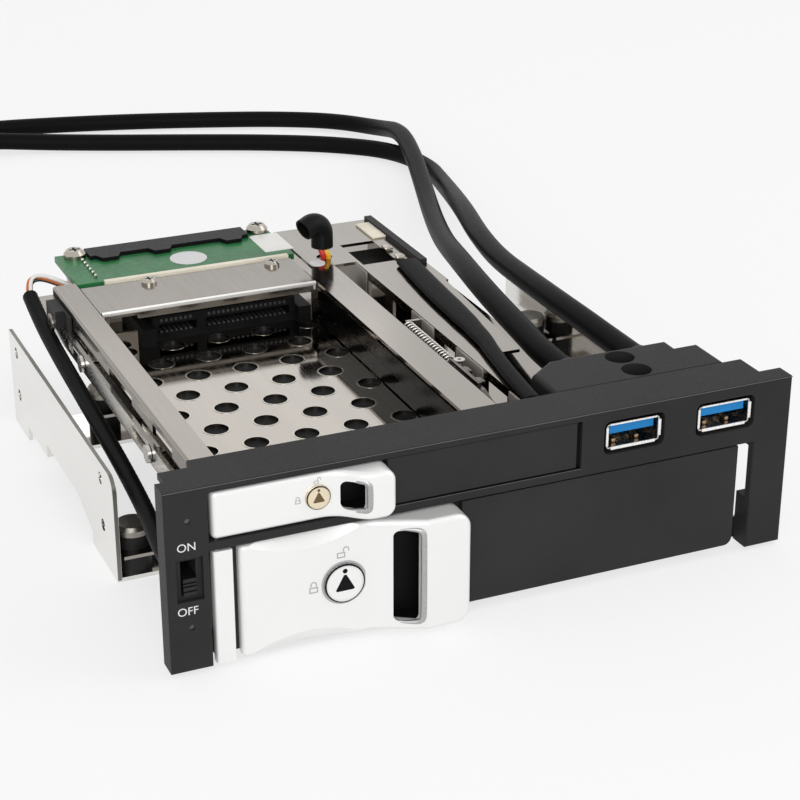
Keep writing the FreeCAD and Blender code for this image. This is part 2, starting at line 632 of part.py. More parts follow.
def scoop(body, level, side):
    """A long concave bevel along the front edge of the lower handle; side is the way to its middle."""
    cutter = body.newObject("PartDesign::SubtractiveCylinder", body.Label + "_scoop")
    cutter.AttachmentSupport = [(plane_of(body, "XY"), "")]
    cutter.MapMode = "FlatFace"
    lean = math.atan2(value("handle_thick"), value("scoop_depth"))
    tilt = math.degrees(lean)
    turn = FreeCAD.Rotation(FreeCAD.Vector(1, 0, 0), -tilt if side < 0 else tilt - 180)
    cutter.AttachmentOffset = FreeCAD.Placement(FreeCAD.Vector(), turn)
    bind(cutter, "Radius", "scoop_radius")
    bind(cutter, "Height", "scoop_radius")
    centre_y = "-scoop_radius * %.6f - scoop_radius / 2 * %.6f" % (math.cos(lean), math.sin(lean))
    lift = "scoop_radius * %.6f - scoop_radius / 2 * %.6f" % (math.sin(lean), math.cos(lean))
    bind(cutter, "AttachmentOffset.Base.x", "lower_handle_left + scoop_middle")
    bind(cutter, "AttachmentOffset.Base.y", from_front(centre_y))
    bind(cutter, "AttachmentOffset.Base.z", "%s + (%d) * (scoop_depth - (%s))" % (level, side, lift))
    settle(cutter)


def make_lock(size, left, middle, reach, way):
    """A lock barrel and the cam on its tail; way is the cam's side at rest."""
    x = "%s + %s_lock_in" % (left, size)
    radius = size + "_lock_radius"
    tail = "bezel_thick + cam_gap"
    barrel = joined([
        rod("Y", x, "-lock_proud", middle, radius, "lock_proud + panel_back + 0.3"),
        rod("Y", x, "panel_back", middle, radius + " * 0.6", tail + " - panel_back"),
    ])
    sub_part(size + "_lock_barrel", barrel)
    start = x + (" - cam_width / 2" if way > 0 else " + cam_width / 2 - (cam_width / 2 + %s)" % reach)
    sub_part(size + "_lock_cam", box(start, tail, middle + " - cam_width / 2",
                                     "cam_width / 2 + " + reach, "cam_thick", "cam_width"))


# Cage

def make_deck():
    body = new_body("bay_deck")
    pad(body, "XY", "deck_low", rectangle("deck_left", "deck_right", "bezel_thick + deck_set", "deck_back"),
        "sheet")
    first = "upper_left + vent_side"
    for shift, fewer in ((0, 0), (0.5, 1)):
        row = drill(body, "XY", "deck_low", [
            ("%s + %.1f * vent_pitch" % (first, column + shift),
             "bezel_thick + vent_front + %d * vent_row" % fewer)
            for column in range(int(value("vent_columns")) - fewer)
        ], "vent_radius", "sheet")
        repeat(body, row, "Y", "2 * vent_row", "vent_rows - %d" % fewer)


def make_rails():
    left = new_body("left_rail")
    pad(left, "XZ", "bezel_thick", [
        ("deck_left", "deck_top"), ("upper_left", "deck_top"), ("upper_left", "rail_top - sheet"),
        ("deck_left + left_lip", "rail_top - sheet"), ("deck_left + left_lip", "rail_top"),
        ("deck_left", "rail_top"),
    ], "left_rail_length")
    round_edges(left, "sheet * 0.9", dict(x="deck_left", z="rail_top"))
    window_low, window_high = "rod_low + rod_height + 1", "rail_top - 2 * sheet - 0.6"
    pocket(left, "YZ", "deck_left", [
        rectangle("pusher_front - eject_travel - 1.5", "pusher_front + 4", "rod_low + 0.6",
                  "rod_low + rod_height - 0.2"),
    ] + [
        rectangle("bezel_thick + left_rail_length * " + start, "bezel_thick + left_rail_length * " + stop,
                  window_low, window_high) for start, stop in (("0.185", "0.3"), ("0.43", "0.58"))
    ], "sheet")
    right = new_body("right_rail")
    outer = "upper_right + sheet"
    pad(right, "XZ", "bezel_thick", [
        ("upper_right", "deck_top"), (outer, "deck_top"), (outer, "rail_top"),
        (outer + " - right_lip", "rail_top"), (outer + " - right_lip", "rail_top - sheet"),
        ("upper_right", "rail_top - sheet"),
    ], "right_rail_length")
    round_edges(right, "sheet * 0.9", dict(x=outer, z="rail_top"))


def make_cover():
    body = new_body("right_cover")
    pad(body, "XZ", "bezel_thick", [
        ("cover_left", "deck_top"), ("cover_left + sheet", "deck_top"),
        ("cover_left + sheet", "rail_top - sheet"), ("cover_right - sheet", "rail_top - sheet"),
        ("cover_right - sheet", "deck_top"),
        ("cover_right", "deck_top"), ("cover_right", "rail_top"), ("cover_left", "rail_top"),
    ], "cover_length")
    pocket(body, "XY", "deck_top", [
        rectangle("cover_left + cover_strip", "cover_right + 1", "bezel_thick - 1", "bezel_thick + cover_step")
    ], "rail_height + 1")
    pocket(body, "XY", "deck_top", [[
        ("cover_right - cover_taper", "bezel_thick + cover_step - 1"),
        ("cover_right + 1", "bezel_thick + cover_step - 1"),
        ("cover_right + 1", "cover_back - cover_wall_length"),
        ("cover_right - sheet", "cover_back - cover_wall_length"),
    ]], "rail_height + 1")
    window = "cover_back - cover_window_back"
    inside = "cover_left + cover_window_in"
    pocket(body, "XY", "rail_top - sheet", [
        rectangle(inside, inside + " + cover_window_width", window + " - cover_window_length", window)
    ], "sheet")
    pad(body, "XY", "rail_top - sheet", rectangle(
        "cover_left - cover_plate_width", "cover_left", "cover_back - cover_plate_length", "cover_back"), "sheet")
    drill(body, "XY", "rail_top - sheet", [("wire_hole_x", "wire_hole_y")], "3 * wire_radius", "sheet")
    pocket(body, "YZ", "cover_left", [
        rectangle("cover_back - cover_length * " + share, "cover_back - cover_length * %s + cover_slot" % share,
                  "deck_top + 3", "rail_top - 2.2") for share in ("0.866", "0.664", "0.476", "0.361")
    ], "sheet")
    anchor = "spring_front + spring_length"
    pad(body, "YZ", "cover_left - spring_anchor", rectangle(
        anchor, anchor + " + 1", "deck_top + 6.6", "rail_top - 0.6"), "spring_anchor")


def wall_outline(x_wall, x_flange, rise):
    return [
        (x_wall + "_out", "cage_base"), (x_flange, "cage_base"), (x_flange, "cage_base + sheet"),
        (x_wall, "cage_base + sheet"), (x_wall, rise), (x_wall + "_out", rise),
    ]


PLACES["lower_left_out"] = "lower_left - sheet"
PLACES["lower_right_out"] = "lower_right + sheet"
PLACES["wall_length"] = "cage_depth - sheet - bezel_thick"
PLACES["front_damper_x"] = "bracket_span / 2 - front_damper_in"
PLACES["front_damper_y"] = "bracket_front + front_damper_back"
PLACES["rear_damper_y"] = "bracket_front + rear_damper_back"
PLACES["rear_left_x"] = "lower_left_out - left_ear_reach"
PLACES["rear_right_x"] = "lower_right_out + right_ear_reach"
PLACES["front_ear_z"] = "bracket_sheet + ear_level"
PLACES["rear_ear_z"] = "rear_flange_level + bracket_sheet + ear_level"


def add_ear(body, wall_x, x, y, z):
    """A flat ear from the wall out to a damper, with the damper's hole."""
    outward = "1" if value(x) > value(wall_x) else "-1"
    end = "%s + %s * ear_end" % (x, outward)
    pad(body, "XY", z, rectangle(wall_x, end, y + " - ear_radius", y + " + ear_radius"), "sheet")
    drill(body, "XY", z, [(x, y)], "damper_waist + running_clearance", "sheet")


def make_lower_walls():
    left = new_body("lower_left_wall")
    pad(left, "XZ", "bezel_thick", wall_outline("lower_left", "lower_left + bay_flange", "deck_low"),
        "wall_length")
    tab_end = "bezel_width / 2 - front_tab_inset"
    pad(left, "XZ", "bezel_thick", rectangle("-(%s)" % tab_end, "lower_left_out", "cage_base",
                                             "cage_base + front_tab_height"), "sheet")
    drill(left, "XZ", "bezel_thick", [("-tab_screw_x", "tab_screw_z")], "bezel_screw_shank + 0.1", "sheet")
    add_ear(left, "lower_left_out", "-front_damper_x", "front_damper_y", "front_ear_z")
    add_ear(left, "lower_left_out", "rear_left_x", "rear_damper_y", "rear_ear_z")
    pocket(left, "YZ", "lower_left_out", [
        rectangle("cage_depth * 0.86", "cage_depth * 0.96", "cage_base + 12", "deck_low - 4"),
        rectangle("cage_depth * 0.37", "cage_depth * 0.58", "deck_low - 9", "deck_low - 3"),
    ], "sheet")
    right = new_body("lower_right_rail")
    rise = "cage_base + right_rail_rise"
    pad(right, "XZ", "bezel_thick", wall_outline("lower_right", "lower_right - bay_flange", rise),
        "wall_length")
    pad(right, "XZ", "bezel_thick", rectangle("lower_right_out", tab_end, "cage_base",
                                              "cage_base + front_tab_height"), "sheet")
    drill(right, "XZ", "bezel_thick", [("tab_screw_x", "tab_screw_z")], "bezel_screw_shank + 0.1", "sheet")
    add_ear(right, "lower_right_out", "front_damper_x", "front_damper_y", "front_ear_z")
    add_ear(right, "lower_right_out", "rear_right_x", "rear_damper_y", "rear_ear_z")


def make_rear_wall():
    body = new_body("rear_wall")
    back = "cage_depth - sheet"
    pad(body, "XZ", back, rectangle("lower_left_out", "lower_right_out", "cage_base", "deck_low"), "sheet")
    pad(body, "XY", "deck_low - sheet", rectangle("lower_left", "deck_right", "deck_back - 6", back), "sheet")
    pocket(body, "XZ", back, [
        rectangle("lower_right_out - 48", "lower_right_out - 28", "cage_base + 4", "cage_base + 10"),
        rectangle("lower_right_out - 24", "lower_right_out - 6", "cage_base + 4", "cage_base + 10"),
        rectangle("deck_right + 0.2", "lower_right_out + 1", "cage_base + right_rail_rise", "deck_low + 1"),
    ], "sheet")


def make_bridge():
    body = new_body("rear_bridge")
    wall = "bridge_front + bridge_set"
    right = "upper_right + sheet - right_lip - 0.2"
    pad(body, "YZ", "board_left", [
        (wall, "deck_top"), (wall + " + sheet", "deck_top"), (wall + " + sheet", "rail_top - sheet"),
        ("bridge_front + bridge_depth", "rail_top - sheet"), ("bridge_front + bridge_depth", "rail_top"),
        ("bridge_front", "rail_top"), ("bridge_front", "rail_top - bridge_lip"),
        ("bridge_front + sheet", "rail_top - bridge_lip"), ("bridge_front + sheet", "rail_top - sheet"),
        (wall, "rail_top - sheet"),
    ], "%s - board_left" % right)
    pocket(body, "XZ", wall, [
        rectangle("socket_x - 4.4", "socket_x + socket_width + 4.4", "deck_top", "deck_top + socket_height + 1"),
        rectangle("board_left + 2.6", "board_left + 10", "deck_top + 4.4", "rail_top - sheet - 1.6"),
    ], "sheet")
    pad(body, "XZ", wall, rectangle(right, "upper_right - 0.1", "deck_top", "rail_top - sheet - 0.1"), "sheet")
    drill(body, "XY", "rail_top - sheet", [(x, "bridge_screw_y") for x in BRIDGE_SCREWS], "screw_shank",
          "sheet")


PLACES["socket_x"] = "upper_left + socket_left"
PLACES["bridge_screw_y"] = "bridge_front + bridge_depth - 3"
BRIDGE_SCREWS = ("board_left + 17.2", "board_left + 50.6")
BOARD_SCREWS = ("board_left + 4.8", "board_left + board_width - 3.1")


def make_boards():
    sub_part("backplane_board", box("deck_left + backplane_left", "backplane_front", "deck_top",
                                    "backplane_width", "board_thick", "rail_height + backplane_rise"))
    body = new_body("control_board")
    pad(body, "XY", "board_low", rectangle("board_left", "board_left + board_width", "board_front", "board_back"),
        "board_thick")
    drill(body, "XY", "board_low", [(x, "board_back - 2.6") for x in BOARD_SCREWS], "screw_shank",
          "board_thick")
    sub_part("board_pillars", joined([
        rod("Z", x, "board_back - 2.6", "deck_top", "pillar_radius", "board_low - deck_top")
        for x in BOARD_SCREWS]))


def make_sockets():
    upper = new_body("upper_drive_socket")
    low = "deck_top"
    pad(upper, "XZ", "socket_front", rectangle("socket_x", "socket_x + socket_width", low,
                                               low + " + socket_height"), "backplane_front - socket_front")
    pocket(upper, "XZ", "socket_front", [
        rectangle("socket_x + 1.5", "socket_x + 11.5", low + " + 2.1", low + " + 2.1 + socket_slot"),
        rectangle("socket_x + 14", "socket_x + socket_width - 1.5", low + " + 2.1", low + " + 2.1 + socket_slot"),
    ], "6")
    pad(upper, "XZ", "socket_front - 3", rectangle("socket_x - 3.4", "socket_x", low, low + " + 4.6"),
        "backplane_front - socket_front + 3")
    pad(upper, "XZ", "socket_front - 3", rectangle(
        "socket_x + socket_width", "socket_x + socket_width + 3.4", low, low + " + 4.6"),
        "backplane_front - socket_front + 3")
    lower = new_body("lower_drive_socket")
    back = "cage_depth - sheet"
    x, z = "lower_left + lower_socket_in", "cage_base + lower_socket_rise"
    pad(lower, "XZ", back + " - lower_socket_depth", rectangle(
        x, x + " + socket_width", z, z + " + socket_height"), "lower_socket_depth")
    pocket(lower, "XZ", back + " - lower_socket_depth", [
        rectangle(x + " + 1.5", x + " + socket_width - 1.5", z + " + 2.1", z + " + 2.1 + socket_slot")], "5")
    shroud = new_body("rear_socket_shroud")
    left = "board_left + shroud_in"
    front = "board_back - shroud_depth"
    corners = [(left, "board_back"), (left, front)]
    for start in ("1.6", "shroud_width * 0.36", "shroud_width - 8.2"):
        for step, deep in (("0", "0"), ("1.2", "2.6"), ("5.4", "2.6"), ("6.6", "0")):
            corners.append(("%s + %s + %s" % (left, start, step), "%s - %s" % (front, deep)))
    corners += [(left + " + shroud_width", front), (left + " + shroud_width", "board_back")]
    pad(shroud, "XY", "rail_top", corners, "shroud_height")
    places = ["board_left + board_width * %s" % share for share in ("0.146", "0.39", "0.636")]
    plugs = [box(place, "board_back - rear_plug_depth", "board_low - rear_plug_height", "rear_plug_width",
                 "rear_plug_depth", "rear_plug_height") for place in places]
    mouths = [box(place + " + 1.2", "board_back - rear_plug_depth * 0.67", "board_low - rear_plug_height * 0.7",
                  "rear_plug_width - 2.4", "rear_plug_depth", "rear_plug_height * 0.37") for place in places]
    sub_part("rear_sockets", less(joined(plugs), joined(mouths)))


# Brackets and dampers

def make_bracket(label, side):
    """Side bracket: a wall with four bay holes and two bent feet; side is -1 left or 1 right."""
    body = new_body(label)
    outer = "%d * bracket_span / 2" % side
    wall_low = outer if side < 0 else outer + " - bracket_sheet"
    front, back = "bracket_front", "bracket_back"
    pad(body, "YZ", wall_low, [
        (front, "0"), (front + " + foot_length", "0"),
        (front + " + foot_length", "rear_flange_level - 0.8"),
        (front + " + waist_start", "bracket_waist"), (front + " + waist_end", "bracket_waist"),
        (front + " + waist_end", "rear_flange_level"), (front + " + rear_foot_start", "rear_flange_level"),
        (front + " + rear_foot_start", "0"), (back, "0"), (back, "bracket_height"), (front, "bracket_height"),
    ], "bracket_sheet")
    round_edges(body, "bracket_corner", dict(y=front, z="bracket_height"))
    drill(body, "YZ", wall_low, [
        ("bracket_front + hole_first + %d * hole_pitch_long" % along, "hole_low + %d * hole_pitch_high" % up)
        for along in (0, 1) for up in (0, 1)
    ], "hole_radius", "bracket_sheet")
    inner = "%d * bracket_inner" % side
    front_end = "%d * (bracket_inner - foot_flange)" % side
    damper = "rear_left_x" if side < 0 else "rear_right_x"
    rear_end = "%s - %d * ear_radius" % (damper, side)
    for end, start, stop, level in (
            (front_end, front, front + " + foot_length", "0"),
            (rear_end, front + " + waist_end", front + " + rear_foot_start", "rear_flange_level")):
        low, high = (outer, end) if side < 0 else (end, outer)
        pad(body, "XY", level, rectangle(low, high, start, stop), "bracket_sheet")
    for x, y, level in (("%d * front_damper_x" % side, "front_damper_y", "0"),
                        (damper, "rear_damper_y", "rear_flange_level")):
        drill(body, "XY", level, [(x, y)], "post_radius", "bracket_sheet")


DAMPERS = (
    ("-front_damper_x", "front_damper_y", "0"), ("front_damper_x", "front_damper_y", "0"),
    ("rear_left_x", "rear_damper_y", "rear_flange_level"), ("rear_right_x", "rear_damper_y", "rear_flange_level"),
)


def make_dampers():
    rubbers = []
    posts = []
    for x, y, level in DAMPERS:
        base = level + " + bracket_sheet"
        ear = "ear_level"
        bush = joined([
            rod("Z", x, y, base, "damper_radius", ear),
            rod("Z", x, y, base, "damper_waist", "damper_height"),
            rod("Z", x, y, base + " + ear_level + sheet", "damper_radius", "damper_height - ear_level - sheet"),
        ])
        rubbers.append(less(bush, rod("Z", x, y, base, "post_radius", "damper_height")))
        posts.append(joined([
            rod("Z", x, y, level, "post_radius", "bracket_sheet + damper_height"),
            rod("Z", x, y, base + " + damper_height", "damper_radius * 1.05", "post_cap * 0.6"),
            taper("Z", x, y, base + " + damper_height + post_cap * 0.6", "damper_radius * 1.05",
                  "damper_radius * 0.9", "post_cap * 0.4"),
        ]))
    sub_part("rubber_dampers", joined(rubbers))
    sub_part("damper_posts", joined(posts))


# Fasteners

def screw(axis, x, y, z, shank, shank_length, head, head_height):
    """A pan-head screw: the head stands on the point and the shank goes the other way along the axis."""
    down = "-(%s)" % shank_length
    back = {"X": (down, "0", "0"), "Y": ("0", down, "0"), "Z": ("0", "0", down)}[axis]
    up = {"X": (head_height, "0", "0"), "Y": ("0", head_height, "0"), "Z": ("0", "0", head_height)}[axis]
    half = ["%s + (%s) * 0.5" % (place, step) for place, step in zip((x, y, z), up)]
    low = ["%s + (%s)" % (place, step) for place, step in zip((x, y, z), back)]
    return joined([
        rod(axis, *low, shank, shank_length),
        rod(axis, x, y, z, head, "(%s) * 0.5" % head_height),
        taper(axis, *half, head, "(%s) * 0.7" % head, "(%s) * 0.5" % head_height),
    ])


def make_screws():
    sub_part("board_screws", joined([
        screw("Z", x, "board_back - 2.6", "rail_top", "screw_shank", "board_thick", "board_screw_head",
              "board_screw_height") for x in BOARD_SCREWS]))
    sub_part("bridge_screws", joined([
        screw("Z", x, "bridge_screw_y", "rail_top", "screw_shank", "bridge_screw_length", "bridge_screw_head",
              "bridge_screw_height") for x in BRIDGE_SCREWS]))
    sub_part("bezel_screws", joined([
        screw("Y", side + "tab_screw_x", "bezel_thick + sheet", "tab_screw_z", "bezel_screw_shank",
              "sheet + bezel_thick - 2.2", "bezel_screw_head", "bezel_screw_height") for side in ("-", "")]))


# Ejectors and latch

def slotted_rod(label, x, low):
    body = new_body(label)
    pad(body, "YZ", x, rectangle("rod_front", "rod_back", low, low + " + rod_height"), "rod_thick")
    middle = low + " + rod_height / 2"
    wide = "rivet_radius + running_clearance"
    pocket(body, "YZ", x, [
        rectangle(spot + " - rivet_radius - 0.3", spot + " + eject_travel + rivet_radius + 0.3",
                  "%s - (%s)" % (middle, wide), "%s + %s" % (middle, wide))
        for spot in ("rivet_first", "rivet_second")
    ], "rod_thick")
    return body


def rivets(wall, x_outer, low):
    """Shoulder rivets that guide a rod on the outside of a wall."""
    middle = low + " + rod_height / 2"
    solids = []
    for spot in ("rivet_first", "rivet_second"):
        solids.append(rod("X", x_outer + " - 0.15", spot, middle, "rivet_radius",
                          "%s - (%s) + 0.15" % (wall, x_outer)))
        solids.append(rod("X", x_outer + " - 0.9", spot, middle, "rivet_head", "0.75"))
    return joined(solids)


def make_ejectors():
    slotted_rod("upper_eject_rod", "rod_outer", "rod_low")
    sub_part("upper_rod_rivets", rivets("deck_left", "rod_outer", "rod_low"))
    pusher = new_body("upper_pusher")
    inner = "rod_outer + rod_thick"
    pad(pusher, "XY", "rod_low + 0.9", rectangle(
        inner, "upper_left + pusher_reach", "pusher_front", "pusher_front + 2.4"), "rod_height - 1.4")
    block_front = "pusher_front + 5"
    block_low = "rod_low + rod_height - 0.8"
    block_top = block_low + " + pusher_block_height"
    pad(pusher, "XZ", "pusher_front", rectangle(inner, inner + " + rod_gap - 0.15", "rod_low + 0.9", block_top),
        "5 + pusher_block_length")
    pad(pusher, "XZ", block_front, [
        ("rod_outer - pusher_block_width", block_low), ("rod_outer", block_low),
        ("rod_outer", "rod_low + rod_height"), (inner, "rod_low + rod_height"), (inner, block_top),
        ("rod_outer - pusher_block_width", block_top),
    ], "pusher_block_length")
    outer = "lower_left_out - rod_gap - rod_thick"
    low = "cage_base + lower_rod_level"
    slotted_rod("lower_eject_rod", outer, low)
    sub_part("lower_rod_rivets", rivets("lower_left_out", outer, low))


def make_latch():
    x = "cover_left - latch_gap - latch_thick"
    body = new_body("latch_slider")
    pad(body, "YZ", x, [
        ("latch_front", "deck_top + 0.1"), ("latch_front + latch_length", "deck_top + 0.1"),
        ("latch_front + latch_length", "deck_top + latch_height"),
        ("latch_front + 10", "deck_top + latch_height"),
        ("latch_front", "deck_top + latch_height - 3.4"),
    ], "latch_thick")
    y = "latch_front + latch_length - 5"
    z = "deck_top + latch_height - roller_radius - 0.4"
    sub_part("latch_roller", joined([
        rod("X", x + " + latch_thick", y, z, "roller_radius", "1.1"),
        rod("X", x + " + latch_thick + 1.1", y, z, "roller_radius * 0.5", "0.3"),
    ]))
    spring = doc.addObject("Part::Feature", "latch_spring")
    radius, wire = value("spring_radius"), value("spring_wire")
    coils = int(value("spring_coils"))
    step = value("spring_length") / coils
    profile = [FreeCAD.Vector(radius - wire, 0, 0)]
    for coil in range(coils):
        profile.append(FreeCAD.Vector(radius - wire * 0.6, coil * step, 0))
        profile.append(FreeCAD.Vector(radius, (coil + 0.5) * step, 0))
    profile.append(FreeCAD.Vector(radius - wire * 0.6, coils * step, 0))
    profile.append(FreeCAD.Vector(radius - wire, coils * step, 0))
    face = Part.Face(Part.makePolygon(profile + profile[:1]))
    spring.Shape = face.revolve(FreeCAD.Vector(), FreeCAD.Vector(0, 1, 0), 360)
    spring.Placement.Base = FreeCAD.Vector(
        value(x) + value("latch_thick") / 2, value(from_front("spring_front")),
        value("deck_top + latch_height - 0.2"))
    sub_part("latch_spring", spring)


# Leads

def pipe(path, start, along, radius):
    ring = Part.Wire(Part.Circle(start, along, radius).toShape())
    return path.makePipeShell([ring], True, False)


def tube(points, radius):
    """A tube along straight runs joined by tangent arcs as large as the runs allow."""
    share = 0.45
    edges = []
    radii = []
    here = points[0]
    for before, corner, after in zip(points, points[1:], points[2:]):
        back, ahead = (before - corner), (after - corner)
        reach = share * min(back.Length, ahead.Length)
        back.normalize()
        ahead.normalize()
        turn = math.pi - back.getAngle(ahead)
        bend = reach / math.tan(turn / 2)
        radii.append(bend)
        start, end = corner + back * reach, corner + ahead * reach
        inward = back + ahead
        inward.normalize()
        middle = corner + inward * (math.hypot(bend, reach) - bend)
        edges += [Part.LineSegment(here, start).toShape(), Part.Arc(start, middle, end).toShape()]
        here = end
    edges.append(Part.LineSegment(here, points[-1]).toShape())
    path = Part.Wire(edges)
    solid = pipe(path, points[0], points[1] - points[0], radius)
    expected = math.pi * radius * radius * path.Length
    if abs(solid.Volume / expected - 1) > 0.01:
        raise RuntimeError("a lead's tube lost volume")
    print("lead length %.0f, smallest bend %.0f" % (path.Length, min(radii)))
    return solid


def lead_points(route):
    return [FreeCAD.Vector(x, value(from_front(str(y))), z) for x, y, z in route]


def make_lead(label, points, radius):
    lead = doc.addObject("Part::Feature", label)
    lead.Shape = tube(points, value(radius))
    sub_part(label, lead)


# Routes of the free leads behind the housing: across, behind the bezel's front, up
LEFT_LEAD = [
    (34.5, 45, 37.45), (36.6, 60, 37.3), (39.4, 79, 36.6), (43.2, 99, 35.4), (51, 128, 31.4), (61, 158, 24.6),
    (70.8, 185, 19.2), (81.5, 214, 14.8), (92.5, 245, 13.2), (103, 276, 12.8), (112.5, 309, 11.8),
    (116, 338, 4.6), (106, 358, 3.2), (86, 369.6, 3.2), (62, 379, 3.2), (34, 388.6, 3.2), (4, 395.6, 3.4),
    (-24, 394.5, 5.2),
]
RIGHT_LEAD = [
    (53.5, 46, 37.45), (54, 62, 37.2), (55.3, 80, 36), (58.2, 101, 33.6), (63, 128, 30), (70.4, 156, 27),
    (82.5, 191, 21.8), (97.5, 232, 12.6), (108.5, 264, 6), (115.2, 290, 3.3), (111, 313, 3.2), (94, 329, 3.2),
    (72, 341.5, 3.2), (46, 353, 3.2), (18, 364.5, 3.2), (-6, 375, 3.4), (-28, 380.5, 5.2),
]
PLUG_X, PLUG_Y, PLUG_LENGTH, PLUG_WIDTH, PLUG_HEIGHT = -47, 373, 22, 28, 10.4
PLUG_ENTRY = ((394.5, 5.2), (380.5, 5.2))
# Routes of the leads that the rack holds: across from the left bracket, behind the bezel's front, up
SWITCH_LEAD = [
    (4.45, 36, 20.4), (5.05, 53, 22), (5.15, 69, 23.8), (4.95, 90, 26.6), (4.45, 108, 29.5), (4.35, 126, 32.6),
    (4.65, 137, 35.4),
]
PLUG_WIRES = [(4.68, 137.7, 35.6), (5.15, 139.8, 38), (7.25, 140, 39.6), (11.05, 137.4, 38.9)]


def held_points(route):
    side = value("-bracket_inner")
    return [FreeCAD.Vector(side + x, value(from_front(str(y))), z) for x, y, z in route]


def free_lead(label, route, entry, across):
    start = FreeCAD.Vector(value(across), value(from_front("lead_exit_y")), value(LEAD_EXIT_Z))
    make_lead(label, [start] + lead_points(route) + lead_points([(PLUG_X, *entry)]), "lead_radius")


def make_leads():
    free_lead("left_usb_lead", LEFT_LEAD, PLUG_ENTRY[0], LEAD_EXITS[0])
    free_lead("right_usb_lead", RIGHT_LEAD, PLUG_ENTRY[1], LEAD_EXITS[1])
    plug = new_body("header_plug")
    pad(plug, "XY", "0", rectangle(
        str(PLUG_X - PLUG_LENGTH), str(PLUG_X), str(PLUG_Y), str(PLUG_Y + PLUG_WIDTH)), str(PLUG_HEIGHT))
    pocket(plug, "YZ", str(PLUG_X - PLUG_LENGTH), [
        rectangle(str(PLUG_Y + 2.2), str(PLUG_Y + PLUG_WIDTH - 2.2), "2.2", str(PLUG_HEIGHT - 2.2))], "9")
    from_switch = [
        FreeCAD.Vector(value("control_x"), value(from_front("bezel_thick + " + depth)),
                       value("switch_level - " + drop))
        for depth, drop in (("6.2", "3.5"), ("14.6", "2.9"))
    ]
    make_lead("switch_lead", from_switch + held_points(SWITCH_LEAD), "braid_radius")
    plug_left, plug_front, plug_low = "board_left + 0.2", "board_front + 5", "board_low - lead_plug_height"
    sub_part("lead_plug", box(plug_left, plug_front, plug_low, "lead_plug_width", "lead_plug_length",
                              "lead_plug_height"))
    plug_side = FreeCAD.Vector(value(plug_left + " - 0.8"),
                               value(from_front(plug_front + " + lead_plug_length / 2")),
                               value(plug_low + " + lead_plug_height / 2"))
    wires = doc.addObject("Part::Feature", "plug_wires")
    wires.Shape = tube(held_points(PLUG_WIRES) + [plug_side], value("wire_radius * 1.3"))
    return wires


PLACES["sleeve_x"] = "upper_right - 3.1"
PLACES["sleeve_y"] = "bridge_front + bridge_depth - 3.1"
PLACES["wire_hole_x"] = "sleeve_x + sleeve_bend + 0.2"
PLACES["wire_hole_y"] = "sleeve_y + 0.4"


def make_sleeve():
    """An open sleeve bent over above the wires; the wires come up through the cover into its leg."""
    bend, turn, lean = value("sleeve_bend"), math.radians(110), math.radians(18)
    across = FreeCAD.Vector(math.cos(lean), math.sin(lean), 0)
    up = FreeCAD.Vector(0, 0, 1)
    centre = FreeCAD.Vector(value("sleeve_x"), value(from_front("sleeve_y")), value("rail_top + sleeve_rise"))
    first, half, last = [
        centre + across * (bend * math.cos(angle)) + up * (bend * math.sin(angle))
        for angle in (0, turn / 2, turn)]
    foot = first - up * value("sleeve_leg")
    mouth = last + (up * math.cos(turn) - across * math.sin(turn)) * value("sleeve_mouth")
    path = Part.Wire([
        Part.LineSegment(foot, first).toShape(), Part.Arc(first, half, last).toShape(),
        Part.LineSegment(last, mouth).toShape(),
    ])
    sleeve = doc.addObject("Part::Feature", "lead_sleeve")
    outside = pipe(path, foot, up, value("sleeve_radius"))
    inside = pipe(path, foot, up, value("sleeve_radius - sleeve_wall"))
    sleeve.Shape = outside.cut(inside)
    sub_part("lead_sleeve", sleeve)
    return [rod("Z", "wire_hole_x + %s * wire_radius" % x, "wire_hole_y + %s * wire_radius" % y, "rail_top - 2",
                "wire_radius", "sleeve_rise + 1") for x, y in (("-1.4", "-0.9"), ("0.9", "-0.9"), ("-0.3", "1.1"))]


# Plan of the flat lead: shares of the cover's length from its back, of its width, and of the lead's width
FLAT_LEAD = [
    (0.274, 0.679, 0.292), (0.404, 0.565, 0.514), (0.57, 0.482, 0.486), (0.685, 0.395, 0.299),
    (0.729, 0.315, 0.278), (0.837, 0.17, 0.271), (0.935, 0.083, 0.271),
]


def make_flat_lead():
    shell = new_body("flat_lead_shell")
    pad(shell, "XY", "rail_top", rectangle(
        "cover_right - shell_width", "cover_right", "cover_back - shell_length - 0.6", "cover_back - 0.6"),
        "shell_height")
    lead = new_body("flat_lead")
    edges = {}
    for side in ("-", "+"):
        edges[side] = [
            ("cover_left + cover_width * %s %s flat_lead_width * %s" % (across, side, half),
             "cover_back - cover_length * %s" % along) for along, across, half in FLAT_LEAD]
    pad(lead, "XY", "rail_top", edges["-"] + edges["+"][::-1], "flat_lead_thick")
    round_edges(lead, "flat_lead_thick * 0.5", dict(z="rail_top + flat_lead_thick"))


make_bezel()
make_hinge_pin()
make_indicator_lamps()
make_power_switch()
make_usb_ports()
make_usb_housing()
make_upper_door()
make_lower_door()
make_lock("upper", "door_left", "upper_door_middle", "upper_door_middle - bar_top + cam_overlap", -1)
make_lock("lower", "lower_handle_left", "lower_door_middle", "bar_low - lower_door_middle + cam_overlap", 1)
make_deck()
make_rails()
make_cover()
make_lower_walls()
make_rear_wall()
make_bridge()
make_boards()
make_sockets()
make_bracket("left_bracket", -1)
make_bracket("right_bracket", 1)
make_dampers()
make_screws()
make_ejectors()
make_latch()
plug_wires = make_leads()
sub_part("thin_wires", joined([plug_wires] + make_sleeve()))
make_flat_lead()

